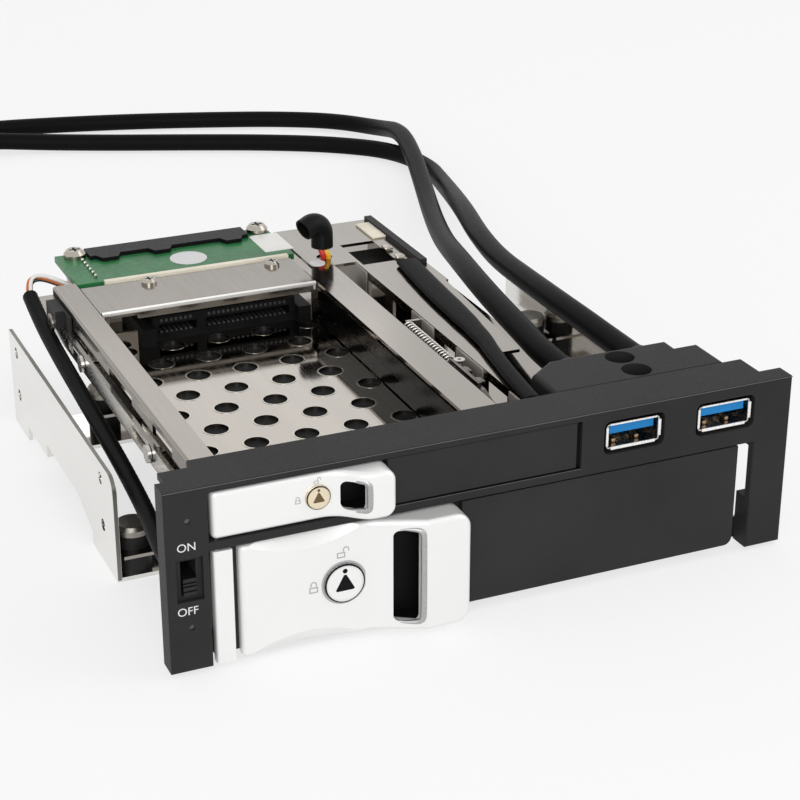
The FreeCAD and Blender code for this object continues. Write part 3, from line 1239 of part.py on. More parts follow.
doc.recompute()
for item in doc.Objects:
    if "Invalid" in item.State or "Error" in item.State:
        raise RuntimeError("%s did not build" % item.Label)
for item in sub_parts:
    if item.Shape.isNull() or not item.Shape.isValid():
        raise RuntimeError("%s has no sound shape" % item.Label)

os.makedirs("parts", exist_ok=True)
for item in sub_parts:
    item.Shape.exportStep("parts/%s.step" % item.Label)
print(len(sub_parts), "sub-parts written")
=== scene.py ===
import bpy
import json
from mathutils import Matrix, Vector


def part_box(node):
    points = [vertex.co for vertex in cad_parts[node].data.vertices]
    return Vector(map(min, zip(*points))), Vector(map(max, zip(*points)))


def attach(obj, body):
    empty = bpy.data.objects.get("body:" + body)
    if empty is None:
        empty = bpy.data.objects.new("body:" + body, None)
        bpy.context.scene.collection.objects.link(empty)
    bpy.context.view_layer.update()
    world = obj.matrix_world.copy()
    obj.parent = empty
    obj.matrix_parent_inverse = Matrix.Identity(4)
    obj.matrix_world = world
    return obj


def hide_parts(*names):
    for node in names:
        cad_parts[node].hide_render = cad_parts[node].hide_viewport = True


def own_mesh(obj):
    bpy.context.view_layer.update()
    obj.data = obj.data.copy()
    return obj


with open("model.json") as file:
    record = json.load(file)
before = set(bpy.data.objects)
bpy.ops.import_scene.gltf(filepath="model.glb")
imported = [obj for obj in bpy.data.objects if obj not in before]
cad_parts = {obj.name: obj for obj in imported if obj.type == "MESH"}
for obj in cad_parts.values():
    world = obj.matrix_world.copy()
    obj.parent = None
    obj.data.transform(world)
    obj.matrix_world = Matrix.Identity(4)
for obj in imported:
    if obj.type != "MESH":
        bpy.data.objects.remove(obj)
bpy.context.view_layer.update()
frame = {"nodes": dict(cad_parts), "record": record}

import json
import math

import bmesh
import bpy
from mathutils import Matrix, Vector

MM = 0.001
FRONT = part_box("bezel")[0].y
SCENE = bpy.context.scene
nodes = frame["nodes"]


def spot(x, y, z):
    """A place in millimetres: across, behind the bezel's front, above the feet."""
    return Vector((x * MM, FRONT + y * MM, z * MM))


# Camera

CAMERA_PLACE = (-172.1, -342.4, 222.25)
CAMERA_LOOK = (0.3648, 0.836, -0.4099)
FOCAL_PIXELS = 1990.48
PICTURE_PIXELS = 800
SENSOR_WIDTH = 36

camera = bpy.data.objects.new("camera", bpy.data.cameras.new("camera"))
SCENE.collection.objects.link(camera)
camera.location = spot(*CAMERA_PLACE)
camera.rotation_euler = Vector(CAMERA_LOOK).to_track_quat("-Z", "Y").to_euler()
camera.data.sensor_width = SENSOR_WIDTH
camera.data.lens = FOCAL_PIXELS / PICTURE_PIXELS * SENSOR_WIDTH
camera.data.clip_start = 0.01
SCENE.camera = camera


# Materials

EVENLY = (1, 1, 1)
ALONG = (1, 0.04, 1)
NOISE_ROUGHNESS = 0.55
NOISE_LOW = 0.3
NOISE_HIGH = 0.7
SMOOTHEST = 0.02


def clean_tree(owner):
    owner.use_nodes = True
    owner.node_tree.nodes.clear()
    return owner.node_tree


def noise(tree, scale, stretch, detail):
    place = tree.nodes.new("ShaderNodeTexCoord")
    mapping = tree.nodes.new("ShaderNodeMapping")
    mapping.inputs["Scale"].default_value = stretch
    texture = tree.nodes.new("ShaderNodeTexNoise")
    texture.inputs["Scale"].default_value = scale
    texture.inputs["Detail"].default_value = detail
    texture.inputs["Roughness"].default_value = NOISE_ROUGHNESS
    tree.links.new(place.outputs["Object"], mapping.inputs["Vector"])
    tree.links.new(mapping.outputs["Vector"], texture.inputs["Vector"])
    return texture.outputs["Fac"]


def spread(tree, fac, low, high):
    """Noise stretched to run from low to high."""
    ranged = tree.nodes.new("ShaderNodeMapRange")
    ranged.inputs["From Min"].default_value = NOISE_LOW
    ranged.inputs["From Max"].default_value = NOISE_HIGH
    ranged.inputs["To Min"].default_value = low
    ranged.inputs["To Max"].default_value = high
    tree.links.new(fac, ranged.inputs["Value"])
    return ranged.outputs["Result"]


def mixed(tree, fac, first, second):
    mix = tree.nodes.new("ShaderNodeMix")
    mix.data_type = "RGBA"
    mix.inputs["A"].default_value = (*first, 1)
    mix.inputs["B"].default_value = (*second, 1)
    tree.links.new(fac, mix.inputs["Factor"])
    return mix.outputs["Result"]


def surface(name, color, roughness, metallic=0.0, grain=1500, stretch=EVENLY, relief=0.1, depth=0.02,
            tint=0.12, blotch=40, uneven=0.08, specular=0.5):
    """A finish with fine relief, slow changes of shade, and uneven gloss."""
    material = bpy.data.materials.new(name)
    tree = clean_tree(material)
    shader = tree.nodes.new("ShaderNodeBsdfPrincipled")
    output = tree.nodes.new("ShaderNodeOutputMaterial")
    tree.links.new(shader.outputs["BSDF"], output.inputs["Surface"])
    slow = noise(tree, blotch, stretch, detail=3.0)
    fine = noise(tree, grain, stretch, detail=2.0)
    dark = [c * (1 - tint) for c in color]
    light = [min(1.0, c * (1 + tint)) for c in color]
    shade = mixed(tree, spread(tree, slow, 0, 1), dark, light)
    gloss = spread(tree, fine, max(SMOOTHEST, roughness - uneven), roughness + uneven)
    tree.links.new(shade, shader.inputs["Base Color"])
    tree.links.new(gloss, shader.inputs["Roughness"])
    if relief:
        bump = tree.nodes.new("ShaderNodeBump")
        bump.inputs["Strength"].default_value = relief
        bump.inputs["Distance"].default_value = depth * MM
        tree.links.new(fine, bump.inputs["Height"])
        tree.links.new(bump.outputs["Normal"], shader.inputs["Normal"])
    shader.inputs["Metallic"].default_value = metallic
    shader.inputs["Specular IOR Level"].default_value = specular
    return material


def wire_surface(name, color):
    return surface(name, color, 0.35, grain=1200, relief=0.05)


def brushed_surface(name, color):
    return surface(name, color, 0.13, 1.0, grain=1400, stretch=ALONG, relief=0.02, depth=0.01, tint=0.03,
                   uneven=0.04)


FINISHES = {
    "black_plastic": surface("moulded_black", (0.028, 0.0275, 0.0275), 0.44, grain=2600, relief=0.16,
                             specular=0.07),
    "door_plastic": surface("door_black", (0.03, 0.029, 0.029), 0.38, grain=2600, relief=0.14,
                            specular=0.08),
    "knob_plastic": surface("knob_black", (0.008, 0.008, 0.0085), 0.34, grain=2200, relief=0.12,
                            specular=0.35),
    "silver_handle": surface("satin_silver", (0.84, 0.84, 0.832), 0.36, 0.3, grain=5200, relief=0.03,
                             depth=0.005, tint=0.015, blotch=18, uneven=0.03),
    "cage_steel": surface("rolled_steel", (0.34, 0.315, 0.285), 0.08, 1.0, grain=900, stretch=ALONG,
                          relief=0.03, depth=0.01, tint=0.1, uneven=0.03),
    "bracket_steel": surface("plated_steel", (0.76, 0.75, 0.725), 0.1, 1.0, grain=700, stretch=ALONG,
                             relief=0.04, depth=0.01, tint=0.06, uneven=0.05),
    "bright_steel": surface("bright_plate", (0.55, 0.53, 0.5), 0.2, 1.0, relief=0.08, tint=0.1),
    "lock_brass": surface("lock_brass", (0.86, 0.75, 0.56), 0.28, 0.8, grain=1800, tint=0.1),
    "lock_steel": surface("lock_steel", (0.62, 0.62, 0.61), 0.26, 1.0, grain=1800, tint=0.06),
    "port_blue": surface("port_blue", (0.004, 0.19, 0.5), 0.4, grain=1800, relief=0.08, tint=0.06,
                         specular=0.3),
    "board_green": surface("solder_mask", (0.024, 0.165, 0.052), 0.36, grain=900, relief=0.08, tint=0.2,
                           blotch=160, specular=0.25),
    "board_cream": surface("sawn_laminate", (0.86, 0.8, 0.66), 0.6, grain=1600, stretch=(1, 1, 6),
                           relief=0.2),
    "rubber_black": surface("damper_rubber", (0.01, 0.01, 0.01), 0.55, relief=0.2, specular=0.3),
    "lead_black": surface("lead_jacket", (0.007, 0.007, 0.0072), 0.42, grain=1600, relief=0.06, tint=0.05,
                          blotch=60, uneven=0.05, specular=0.03),
    "braid_black": surface("braid", (0.006, 0.006, 0.0062), 0.45, grain=2600, relief=0.4, specular=0.05),
    "wire_red": wire_surface("wire_red", (0.55, 0.02, 0.015)),
    "plug_white": surface("plug_white", (0.8, 0.79, 0.76), 0.35, relief=0.08, tint=0.05),
    "lamp_clear": surface("lamp_clear", (0.09, 0.09, 0.1), 0.2, grain=1200, relief=0.05),
}
WIRES = {
    "black": wire_surface("wire_black", (0.015, 0.015, 0.015)),
    "yellow": wire_surface("wire_yellow", (0.75, 0.42, 0.02)),
    "orange": wire_surface("wire_orange", (0.65, 0.16, 0.02)),
    "white": wire_surface("wire_white", (0.82, 0.81, 0.78)),
    "red": FINISHES["wire_red"],
}
RAIL = brushed_surface("brushed_sheet", (0.36, 0.335, 0.305))
SHEET = brushed_surface("rail_sheet", (0.285, 0.262, 0.236))
PRINT = surface("white_print", (0.72, 0.72, 0.72), 0.5, grain=2500, relief=0.05, tint=0.03)
# Grey for the padlock prints, also used as painted shade round the lower lock
GREY_PRINT_AND_SHADE = surface("grey_print", (0.42, 0.42, 0.42), 0.5, grain=2500, relief=0.05, tint=0.05)
# This dark colour is painted shade in the finger slots, the screw recesses, the door gap and under the deck,
# and plain dark colour for the rest
DARK = surface("dark_recess", (0.006, 0.006, 0.006), 0.55, relief=0.05, specular=0.08)
RIM = surface("port_rim", (0.9, 0.89, 0.87), 0.3, 0.6, relief=0.05, tint=0.04)
NICKEL = surface("nickel", (0.42, 0.39, 0.34), 0.2, 1.0, relief=0.06, tint=0.08)
# A steel much darker than the cage's, for the latch
LATCH = surface("oiled_steel", (0.12, 0.11, 0.1), 0.25, 1.0, relief=0.08, tint=0.2)
SPRING_TAB = surface("tab_bronze", (0.42, 0.28, 0.17), 0.3, 1.0, relief=0.05)
# A pale finish for plates on the channel wall: painted light
WALL_LIGHT = surface("pale_sheet", (0.5, 0.48, 0.45), 0.35, 0.7, relief=0.0, tint=0.04, uneven=0.03)
EDGE = surface("sheared_edge", (0.2, 0.19, 0.175), 0.4, 0.8, relief=0.04, tint=0.1)
# A darker grey than the handle's silver: painted shade on the grip's rolled edge
GRIP = surface("grip_edge", (0.42, 0.42, 0.415), 0.32, 0.7, grain=5200, relief=0.02, tint=0.03)
CAP = surface("cap_steel", (0.34, 0.32, 0.285), 0.36, 1.0, relief=0.06, tint=0.1)
# A near-white finish for the bridge's rolled lip: painted highlight
LIP = surface("rolled_lip", (0.92, 0.91, 0.885), 0.3, 0.5, relief=0.0, tint=0.02, uneven=0.02)
# A lighter grey than the bezel's black: painted highlight along its edges
EDGE_HIGHLIGHT = surface("worn_edge", (0.1, 0.098, 0.096), 0.4, grain=2600, specular=0.2)
# A nearly black mirror finish for the bay's right wall: painted shade
RAIL_WALL_SHADE = surface("dark_liner", (0.012, 0.011, 0.01), 0.24, 1.0, grain=900, stretch=ALONG, relief=0.02,
                tint=0.1)
# Black plastic made darker still: painted shade on the upper socket, the lead sleeve and the rear shroud
SHADED_BLACK = surface("socket_black", (0.007, 0.007, 0.0075), 0.4, grain=2200, relief=0.08, specular=0.1)
PIN = surface("dark_pin", (0.07, 0.07, 0.07), 0.35, 0.6, relief=0.05)
BRONZE = surface("lock_bronze", (0.16, 0.1, 0.05), 0.4, 0.6, grain=1800, relief=0.08)
GOLD = surface("contact_gold", (0.78, 0.58, 0.28), 0.22, 1.0, relief=0.05)

for part in frame["record"]["subparts"]:
    slots = nodes[part["node"]].data.materials
    slots.clear()
    slots.append(FINISHES[part["material_slot"]])

OWN_FINISHES = [
    (RAIL, ("right_rail", "right_cover")),
    (SHEET, ("left_rail", "rear_bridge")),
    (NICKEL, ("board_screws", "bridge_screws", "bezel_screws")),
    (LATCH, ("latch_slider",)),
    # These three take the darker black as painted shade
    (SHADED_BLACK, ("upper_drive_socket", "lead_sleeve", "rear_socket_shroud")),
    (CAP, ("damper_posts",)),
]
for finish, names in OWN_FINISHES:
    for name in names:
        nodes[name].data.materials[0] = finish


# Building blocks

SHARP_ANGLE = 40
TUBE_SHARP_ANGLE = 80
FLAT_SHARP_ANGLE = 70
CURVE_STEPS = 12
CURVE_ORDER = 3
BEVEL_STEPS = 6


def add_piece(name, data, material, body):
    piece = bpy.data.objects.new(name, data)
    SCENE.collection.objects.link(piece)
    piece.data.materials.append(material)
    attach(piece, body)
    return piece


def smooth(mesh, angle=SHARP_ANGLE):
    mesh.polygons.foreach_set("use_smooth", [True] * len(mesh.polygons))
    mesh.set_sharp_from_angle(angle=math.radians(angle))
    return mesh


def mesh_of(curve):
    """The mesh that a curve or a word makes."""
    holder = bpy.data.objects.new("holder", curve)
    mesh = bpy.data.meshes.new_from_object(holder)
    mesh.name = curve.name
    bpy.data.objects.remove(holder)
    return mesh


def route_curve(name, points, radius=0.0):
    """A smooth line with the route's points as its control points."""
    curve = bpy.data.curves.new(name, "CURVE")
    curve.dimensions = "3D"
    curve.resolution_u = CURVE_STEPS
    curve.bevel_depth = radius
    curve.bevel_resolution = BEVEL_STEPS
    curve.use_fill_caps = radius > 0
    spline = curve.splines.new("NURBS")
    spline.points.add(len(points) - 1)
    for control, point in zip(spline.points, points):
        control.co = (*point, 1)
    spline.order_u = CURVE_ORDER
    spline.use_endpoint_u = True
    return curve


def distances(points):
    """How far along a line each of its points is."""
    result = [0.0]
    for a, b in zip(points, points[1:]):
        result.append(result[-1] + (b - a).length)
    return result


def route_line(name, route, step):
    """Points a step apart on the smooth line of a route, with the route and the step in millimetres."""
    mesh = mesh_of(route_curve(name, [spot(*point) for point in route]))
    points = [vertex.co.copy() for vertex in mesh.vertices]
    bpy.data.meshes.remove(mesh)
    lengths = distances(points)
    count = max(2, round(lengths[-1] / (step * MM)))
    result = []
    i = 0
    for n in range(count + 1):
        goal = lengths[-1] * n / count
        while i < len(points) - 2 and lengths[i + 1] < goal:
            i += 1
        share = (goal - lengths[i]) / max(1e-9, lengths[i + 1] - lengths[i])
        result.append(points[i].lerp(points[i + 1], min(1, max(0, share))))
    return result


def heading(points, i):
    return (points[min(i + 1, len(points) - 1)] - points[max(i - 1, 0)]).normalized()


def tube_faces(rings, sides):
    """The faces round a tube of so many rings, with both ends closed."""
    faces = []
    for i in range(rings - 1):
        for j in range(sides):
            k = (j + 1) % sides
            faces.append((i * sides + j, i * sides + k, (i + 1) * sides + k, (i + 1) * sides + j))
    faces.append(tuple(reversed(range(sides))))
    faces.append(tuple(range((rings - 1) * sides, rings * sides)))
    return faces


def tube_mesh(name, points, sides, radius):
    """A tube along points; radius(ring, side) gives its relief."""
    verts = []
    across = heading(points, 0).orthogonal().normalized()
    for i, point in enumerate(points):
        along = heading(points, i)
        across = (across - along * across.dot(along)).normalized()
        other = along.cross(across)
        for j in range(sides):
            angle = 2 * math.pi * j / sides
            verts.append(point + (across * math.cos(angle) + other * math.sin(angle)) * radius(i, j))
    mesh = bpy.data.meshes.new(name)
    mesh.from_pydata(verts, [], tube_faces(len(points), sides))
    return smooth(mesh, TUBE_SHARP_ANGLE)


def add_blocks(name, blocks, bevel, material, body):
    """Boxes with softened edges, each given by its low and high corners in millimetres."""
    shape = bmesh.new()
    for block in blocks:
        low, high = [spot(*corner) for corner in block]
        made = bmesh.ops.create_cube(shape, size=1)["verts"]
        bmesh.ops.scale(shape, vec=high - low, verts=made)
        bmesh.ops.translate(shape, vec=(low + high) / 2, verts=made)
    bmesh.ops.bevel(shape, geom=shape.edges[:], offset=bevel * MM, segments=2, affect="EDGES", profile=0.5)
    mesh = bpy.data.meshes.new(name)
    shape.to_mesh(mesh)
    shape.free()
    return add_piece(name, smooth(mesh), material, body)


# How a flat drawing lies: facing up, facing the front with its up along Z, or facing the side likewise
ON_TOP = Matrix.Identity(4)
ON_FRONT = Matrix(((1, 0, 0, 0), (0, 0, -1, 0), (0, 1, 0, 0), (0, 0, 0, 1)))
ON_SIDE = Matrix(((0, 0, 1, 0), (1, 0, 0, 0), (0, 1, 0, 0), (0, 0, 0, 1)))


def laid(turn, place):
    return Matrix.Translation(spot(*place)) @ turn @ Matrix.Scale(MM, 4)


def add_plate(name, outline, holes, thick, turn, place, material, body):
    """A flat plate: its outline, holes and thickness are in millimetres."""
    curve = bpy.data.curves.new(name, "CURVE")
    curve.dimensions = "2D"
    curve.fill_mode = "BOTH"
    curve.extrude = thick / 2
    for loop in [outline] + holes:
        spline = curve.splines.new("POLY")
        spline.points.add(len(loop) - 1)
        for control, (a, b) in zip(spline.points, loop):
            control.co = (a, b, 0, 1)
        spline.use_cyclic_u = True
    mesh = mesh_of(curve)
    mesh.transform(laid(turn, place))
    return add_piece(name, smooth(mesh), material, body)


def ring_points(radius, count=40):
    angles = [2 * math.pi * i / count for i in range(count)]
    return [(radius * math.cos(angle), radius * math.sin(angle)) for angle in angles]


def rectangle(left, low, right, high):
    return [(left, low), (right, low), (right, high), (left, high)]


# Free leads

LEFT_LEAD = [
    (34.5, 34, 37.45),
    (34.5, 45, 37.45), (36.6, 60, 37.3), (39.4, 79, 36.6), (43.2, 99, 35.4), (51, 128, 31.4), (61, 158, 24.6),
    (70.8, 185, 19.2), (81.5, 214, 14.8), (92.5, 245, 13.2), (103, 276, 12.8), (112.5, 309, 11.8),
    (116, 338, 4.6), (106, 358, 3.2), (86, 369.6, 3.2), (62, 379, 3.2), (34, 388.6, 3.2), (4, 395.6, 3.4),
    (-24, 394.5, 5.2), (-47, 394.5, 5.2),
]
RIGHT_LEAD = [
    (53.5, 34, 37.45),
    (53.5, 46, 37.45), (54, 62, 37.2), (55.3, 80, 36), (58.2, 101, 33.6), (63, 128, 30), (70.4, 156, 27),
    (82.5, 191, 21.8), (97.5, 232, 12.6), (108.5, 264, 6), (115.2, 290, 3.3), (111, 313, 3.2), (94, 329, 3.2),
    (72, 341.5, 3.2), (46, 353, 3.2), (18, 364.5, 3.2), (-6, 375, 3.4), (-28, 380.5, 5.2), (-47, 380.5, 5.2),
]
LEAD_RADIUS = 3.1 * MM
for name, route, length in (("left_lead", LEFT_LEAD, 0.5), ("right_lead", RIGHT_LEAD, 0.465)):
    points = [spot(*point) for point in route]
    curve = route_curve(name, points, LEAD_RADIUS)
    lead = add_piece(name, curve, FINISHES["lead_black"], "chassis")
    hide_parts(name.replace("lead", "usb_lead"))


# Braided lead of the switch

SWITCH_LEAD = [
    (-69.35, 11.6, 19), (-69.35, 20, 19.6), (-67.6, 36, 20.4), (-67, 53, 22), (-66.9, 69, 23.8),
    (-67.1, 90, 26.6), (-67.6, 108, 29.5), (-67.7, 126, 32.6), (-67.4, 137, 35.4),
]
BRAID_STEP = 0.5
BRAID_SIDES = 24
BRAID_STRANDS = 6
BRAID_TURN = 0.85
BRAID_RADIUS = 1.9
BRAID_RELIEF = 0.1


def braid_radius(ring, side):
    """Two sets of strands wound against each other."""
    first = math.sin(ring * BRAID_TURN + side * 2 * math.pi / BRAID_SIDES * BRAID_STRANDS)
    second = math.sin(ring * BRAID_TURN - side * 2 * math.pi / BRAID_SIDES * BRAID_STRANDS)
    return (BRAID_RADIUS + BRAID_RELIEF * max(abs(first), abs(second))) * MM


switch_line = route_line("switch_line", SWITCH_LEAD, BRAID_STEP)
switch_lead = add_piece("braided_lead", tube_mesh("braided_lead", switch_line, BRAID_SIDES, braid_radius),
                        FINISHES["braid_black"], "chassis")
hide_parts("switch_lead")


# Thin wires at the white plug and at the arched sleeve

PLUG_WIRES = [
    (-67.4, 136.4, 35.2), (-66.9, 139.8, 38), (-64.8, 140, 39.6), (-61, 137.4, 38.9), (-57.3, 134.5, 37.2),
]
SLEEVE_WIRES = [(7.7, 121, 46), (7.1, 119.2, 43.3), (8.2, 118.8, 41.8), (8, 120.4, 39)]
# Name, color, route, shift from the route, and radius
WIRE_ROUTES = [
    ("wire_a", "white", PLUG_WIRES, (0, -0.7, 0.7), 0.5),
    ("wire_b", "red", PLUG_WIRES, (0.4, 0.6, 0.2), 0.5),
    ("wire_c", "black", PLUG_WIRES, (0, 0, -0.7), 0.5),
    ("wire_d", "orange", PLUG_WIRES, (-0.5, 0.2, 0), 0.5),
    ("wire_e", "red", SLEEVE_WIRES, (-0.8, -0.2, 0), 0.75),
    ("wire_f", "yellow", SLEEVE_WIRES, (0.5, -0.5, -0.2), 0.7),
    ("wire_g", "black", SLEEVE_WIRES, (0.1, 0.9, 0), 0.7),
]
for name, color, route, shift, radius in WIRE_ROUTES:
    points = [spot(*point) + Vector(shift) * MM for point in route]
    wire = add_piece(name, route_curve(name, points, radius * MM), WIRES[color], "chassis")
    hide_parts("thin_wires")


# Flat lead on the cover

FLAT_LEVEL = 41.78
FLAT_LEAD = [
    (25.6, 106, FLAT_LEVEL), (23.7, 88, FLAT_LEVEL), (22.3, 65, FLAT_LEVEL), (20.8, 49.1, FLAT_LEVEL),
    (19.5, 43, FLAT_LEVEL), (17.1, 28, FLAT_LEVEL), (15.6, 14.4, FLAT_LEVEL),
]
FLAT_HALF_WIDTHS = [2.9, 3.1, 3.2, 3.2, 3, 2.5, 2.05, 1.9, 1.9, 1.9]
FLAT_THICK = 1.8
FLAT_STEP = 1.5
FLAT_SIDES = 20
FLAT_FULLNESS = 0.7


def between(places, values, place):
    """A value read off between the places it is known at, eased at each of them."""
    for (a, b), (first, second) in zip(zip(places, places[1:]), zip(values, values[1:])):
        if place <= b:
            share = max(0.0, (place - a) / (b - a))
            return first + (second - first) * share * share * (3 - 2 * share)
    return values[-1]


def flat_mesh(name, line):
    """A soft flat tube: an oval of changing width carried along a level line."""
    lengths = distances(line)
    places = [lengths[-1] * i / (len(FLAT_HALF_WIDTHS) - 1) for i in range(len(FLAT_HALF_WIDTHS))]
    verts = []
    for i, point in enumerate(line):
        along = heading(line, i)
        across = Vector((along.y, -along.x, 0))
        half = between(places, FLAT_HALF_WIDTHS, lengths[i]) * MM
        for j in range(FLAT_SIDES):
            angle = 2 * math.pi * j / FLAT_SIDES
            rise = math.sin(angle)
            up = math.copysign(abs(rise) ** FLAT_FULLNESS, rise) * FLAT_THICK * MM / 2
            verts.append(point + across * half * math.cos(angle) + Vector((0, 0, up)))
    mesh = bpy.data.meshes.new(name)
    mesh.from_pydata(verts, [], tube_faces(len(line), FLAT_SIDES))
    return smooth(mesh, FLAT_SHARP_ANGLE)


flat_line = route_line("flat_line", FLAT_LEAD, FLAT_STEP)
flat_lead = add_piece("flat_lead_sleeve", flat_mesh("flat_lead_sleeve", flat_line),
                      FINISHES["lead_black"], "chassis")
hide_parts("flat_lead")


# Lock faces

# Across, up and radius
LOCKS = {"upper": (-41.2, 35.8, 2.7), "lower": (-35.6, 14.425, 4.6)}
# Where each layer is, less than zero in front of the bezel, and its thickness
LOCK_RING_Y, LOCK_RING_THICK = -0.54, 0.12
LOCK_DISC_Y, LOCK_DISC_THICK = -0.62, 0.3
LOCK_FACE_Y, LOCK_FACE_THICK = -0.6, 0.24
LOCK_INK_Y, INK_THICK = -0.73, 0.04
# Shares of the lock's radius
RING_SHARES = (0.99, 0.92)
DISC_SHARES = (0.91, 0.86)
FACE_SHARE = 0.85
MARK_SHARE = 0.47
DOT_SHARE = 0.12
DOT_RISE = 0.66
# A triangle with cut corners, in units of the mark's half-width
LOCK_MARK = [(-1, -0.62), (-0.85, -0.76), (0.85, -0.76), (1, -0.62), (0.13, 0.98), (-0.13, 0.98)]


def add_lock_face(size, finish, ink):
    x, z, radius = LOCKS[size]
    body = size + "_lock"
    outer, inner = [ring_points(radius * share) for share in RING_SHARES]
    add_plate(size + "_lock_ring", outer, [inner], LOCK_RING_THICK, ON_FRONT, (x, LOCK_RING_Y, z),
              DARK, body)
    outer, inner = [ring_points(radius * share) for share in DISC_SHARES]
    add_plate(size + "_lock_disc", outer, [inner[::-1]], LOCK_DISC_THICK, ON_FRONT, (x, LOCK_DISC_Y, z),
              finish, body)
    add_plate(size + "_lock_face", ring_points(radius * FACE_SHARE), [], LOCK_FACE_THICK, ON_FRONT,
              (x, LOCK_FACE_Y, z), finish, body)
    half = radius * MARK_SHARE
    mark = [(a * half, b * half) for a, b in LOCK_MARK]
    add_plate(size + "_lock_mark", mark, [], INK_THICK, ON_FRONT, (x, LOCK_INK_Y, z), ink, body)
    add_plate(size + "_lock_dot", ring_points(radius * DOT_SHARE), [], INK_THICK, ON_FRONT,
              (x, LOCK_INK_Y, z + radius * DOT_RISE), ink, body)


add_lock_face("upper", FINISHES["lock_brass"], BRONZE)
add_lock_face("lower", FINISHES["silver_handle"], DARK)


# Finger slots, with painted shade inside them and on the grip's rolled edge

SLOT_SHADE_GAP = 0.1
SLOT_SHADE_THICK = 0.16
SLOT_SHADE_BEVEL = 0.03
RAMP_START = 0.2
RAMP_END, RAMP_FRONT = 0.4, -2.9
HOLLOW_FRONT = -3.1
SLOT_BACK = 1.95
SHEET_THICK = 0.12
END_SHEET_GAP, END_SHEET_BACK = 0.02, 1.9
BACK_SHEET_FRONT = 1.7
GRIP_SHEET_FRONT = -3.18
GRIP_EDGE_STEP = 0.3
GRIP_EDGE_SIDES = 16
GRIP_EDGE_END, GRIP_EDGE_SWELL, GRIP_EDGE_TAPER = 0.2, 0.5, 6
# Across: the slot's left and right and the inner end of the hollow; then up: its floor and roof
UPPER_SLOT = ((-36.6, -31.9, -27.3), (32.5, 39.1))
LOWER_SLOT = ((-25.1, -19.7, -9.9), (3.45, 25.45))
UPPER_GRIP_EDGE = [
    (-35.2, -1.6, 39.3), (-33, -3.1, 39.35), (-31.4, -4.35, 39), (-31.3, -4.45, 37.4), (-31.3, -4.45, 34.2),
    (-31.4, -4.35, 32.6), (-33, -3.1, 32.25), (-35.2, -1.6, 32.3),
]
LOWER_GRIP_EDGE = [
    (-24, -2.2, 25.7), (-21, -3.6, 25.75), (-19.2, -4.45, 25.3), (-19.05, -4.5, 23), (-19.05, -4.5, 5.9),
    (-19.2, -4.45, 3.6), (-21, -3.6, 3.15), (-24, -2.2, 3.2),
]


def line_slot(size, slot, edge):
    """Painted shade lining a finger slot and the hollow behind its grip, and the rolled edge of the grip,
    whose darker grey is painted shade.
    """
    (left, right, inner), (low, high) = slot
    body = size + "_door"
    bottom, top = low + SLOT_SHADE_GAP, high - SLOT_SHADE_GAP
    floor = [(left + RAMP_START, RAMP_START), (right - RAMP_END, RAMP_FRONT), (right, HOLLOW_FRONT),
             (inner, HOLLOW_FRONT), (inner, SLOT_BACK), (left + RAMP_START, SLOT_BACK)]
    # Dark plates at the slot's floor and roof: painted shade
    for part, level in (("_slot_floor", bottom), ("_slot_roof", top)):
        add_plate(size + part, floor, [], SLOT_SHADE_THICK, ON_TOP, (0, 0, level), DARK, body)
    # Dark sheets at the hollow's end, back and grip: painted shade
    end = inner - END_SHEET_GAP
    end_sheet = ((end - SHEET_THICK, HOLLOW_FRONT, bottom), (end, END_SHEET_BACK, top))
    back_sheet = ((left + SLOT_SHADE_GAP, BACK_SHEET_FRONT, bottom), (inner - SLOT_SHADE_GAP, SLOT_BACK, top))
    grip_sheet = ((right, GRIP_SHEET_FRONT, bottom),
                  (inner - SLOT_SHADE_GAP, GRIP_SHEET_FRONT + SHEET_THICK, top))
    add_blocks(size + "_slot_lining", [end_sheet, back_sheet, grip_sheet], SLOT_SHADE_BEVEL, DARK, body)
    name = size + "_grip_edge"
    line = route_line(size + "_edge_line", edge, GRIP_EDGE_STEP)
    last = len(line) - 1

    def edge_radius(ring, side):
        swell = min(1, GRIP_EDGE_TAPER * min(ring, last - ring) / last)
        return (GRIP_EDGE_END + GRIP_EDGE_SWELL * swell) * MM

    # The rolled edge is a real shape; its darker grey is painted shade
    add_piece(name, tube_mesh(name, line, GRIP_EDGE_SIDES, edge_radius), GRIP, body)


line_slot("upper", UPPER_SLOT, UPPER_GRIP_EDGE)
line_slot("lower", LOWER_SLOT, LOWER_GRIP_EDGE)


# Prints and pictograms on the doors, and a grey ring of painted shade round the lower lock

# A flat grey ring round the lower lock: painted shade of the lock's well
WELL_RADIUS, WELL_BORE = 5.15, 4.66
WELL_Y = -0.01
well_x, well_z = LOCKS["lower"][:2]
add_plate("lower_lock_well", ring_points(WELL_RADIUS), [ring_points(WELL_BORE)], INK_THICK, ON_FRONT,
          (well_x, WELL_Y, well_z), GREY_PRINT_AND_SHADE, "lower_door")

# A padlock in units of its half-width
PADLOCK_BODY = rectangle(-1, -1.3, 1, 0.1)
PADLOCK_WINDOW = rectangle(-0.7, -1, 0.7, -0.2)
SHACKLE_OUTER, SHACKLE_INNER = 0.75, 0.47
SHACKLE_FOOT, SHACKLE_RISE = 0.2, 0.65
SHACKLE_SWING = 1.2
ARCH_STEPS = 16
PADLOCK_Y, PADLOCK_THICK = -0.02, 0.03
# Name, across, up, half-width, whether it is open, and body
PADLOCKS = [
    ("upper_shut_mark", -45.6, 35.8, 0.6, False, "upper_door"),
    ("upper_open_mark", -41.5, 39.5, 0.55, True, "upper_door"),
    ("lower_shut_mark", -42.5, 14.6, 1, False, "lower_door"),
    ("lower_open_mark", -36.2, 21.6, 0.95, True, "lower_door"),
]


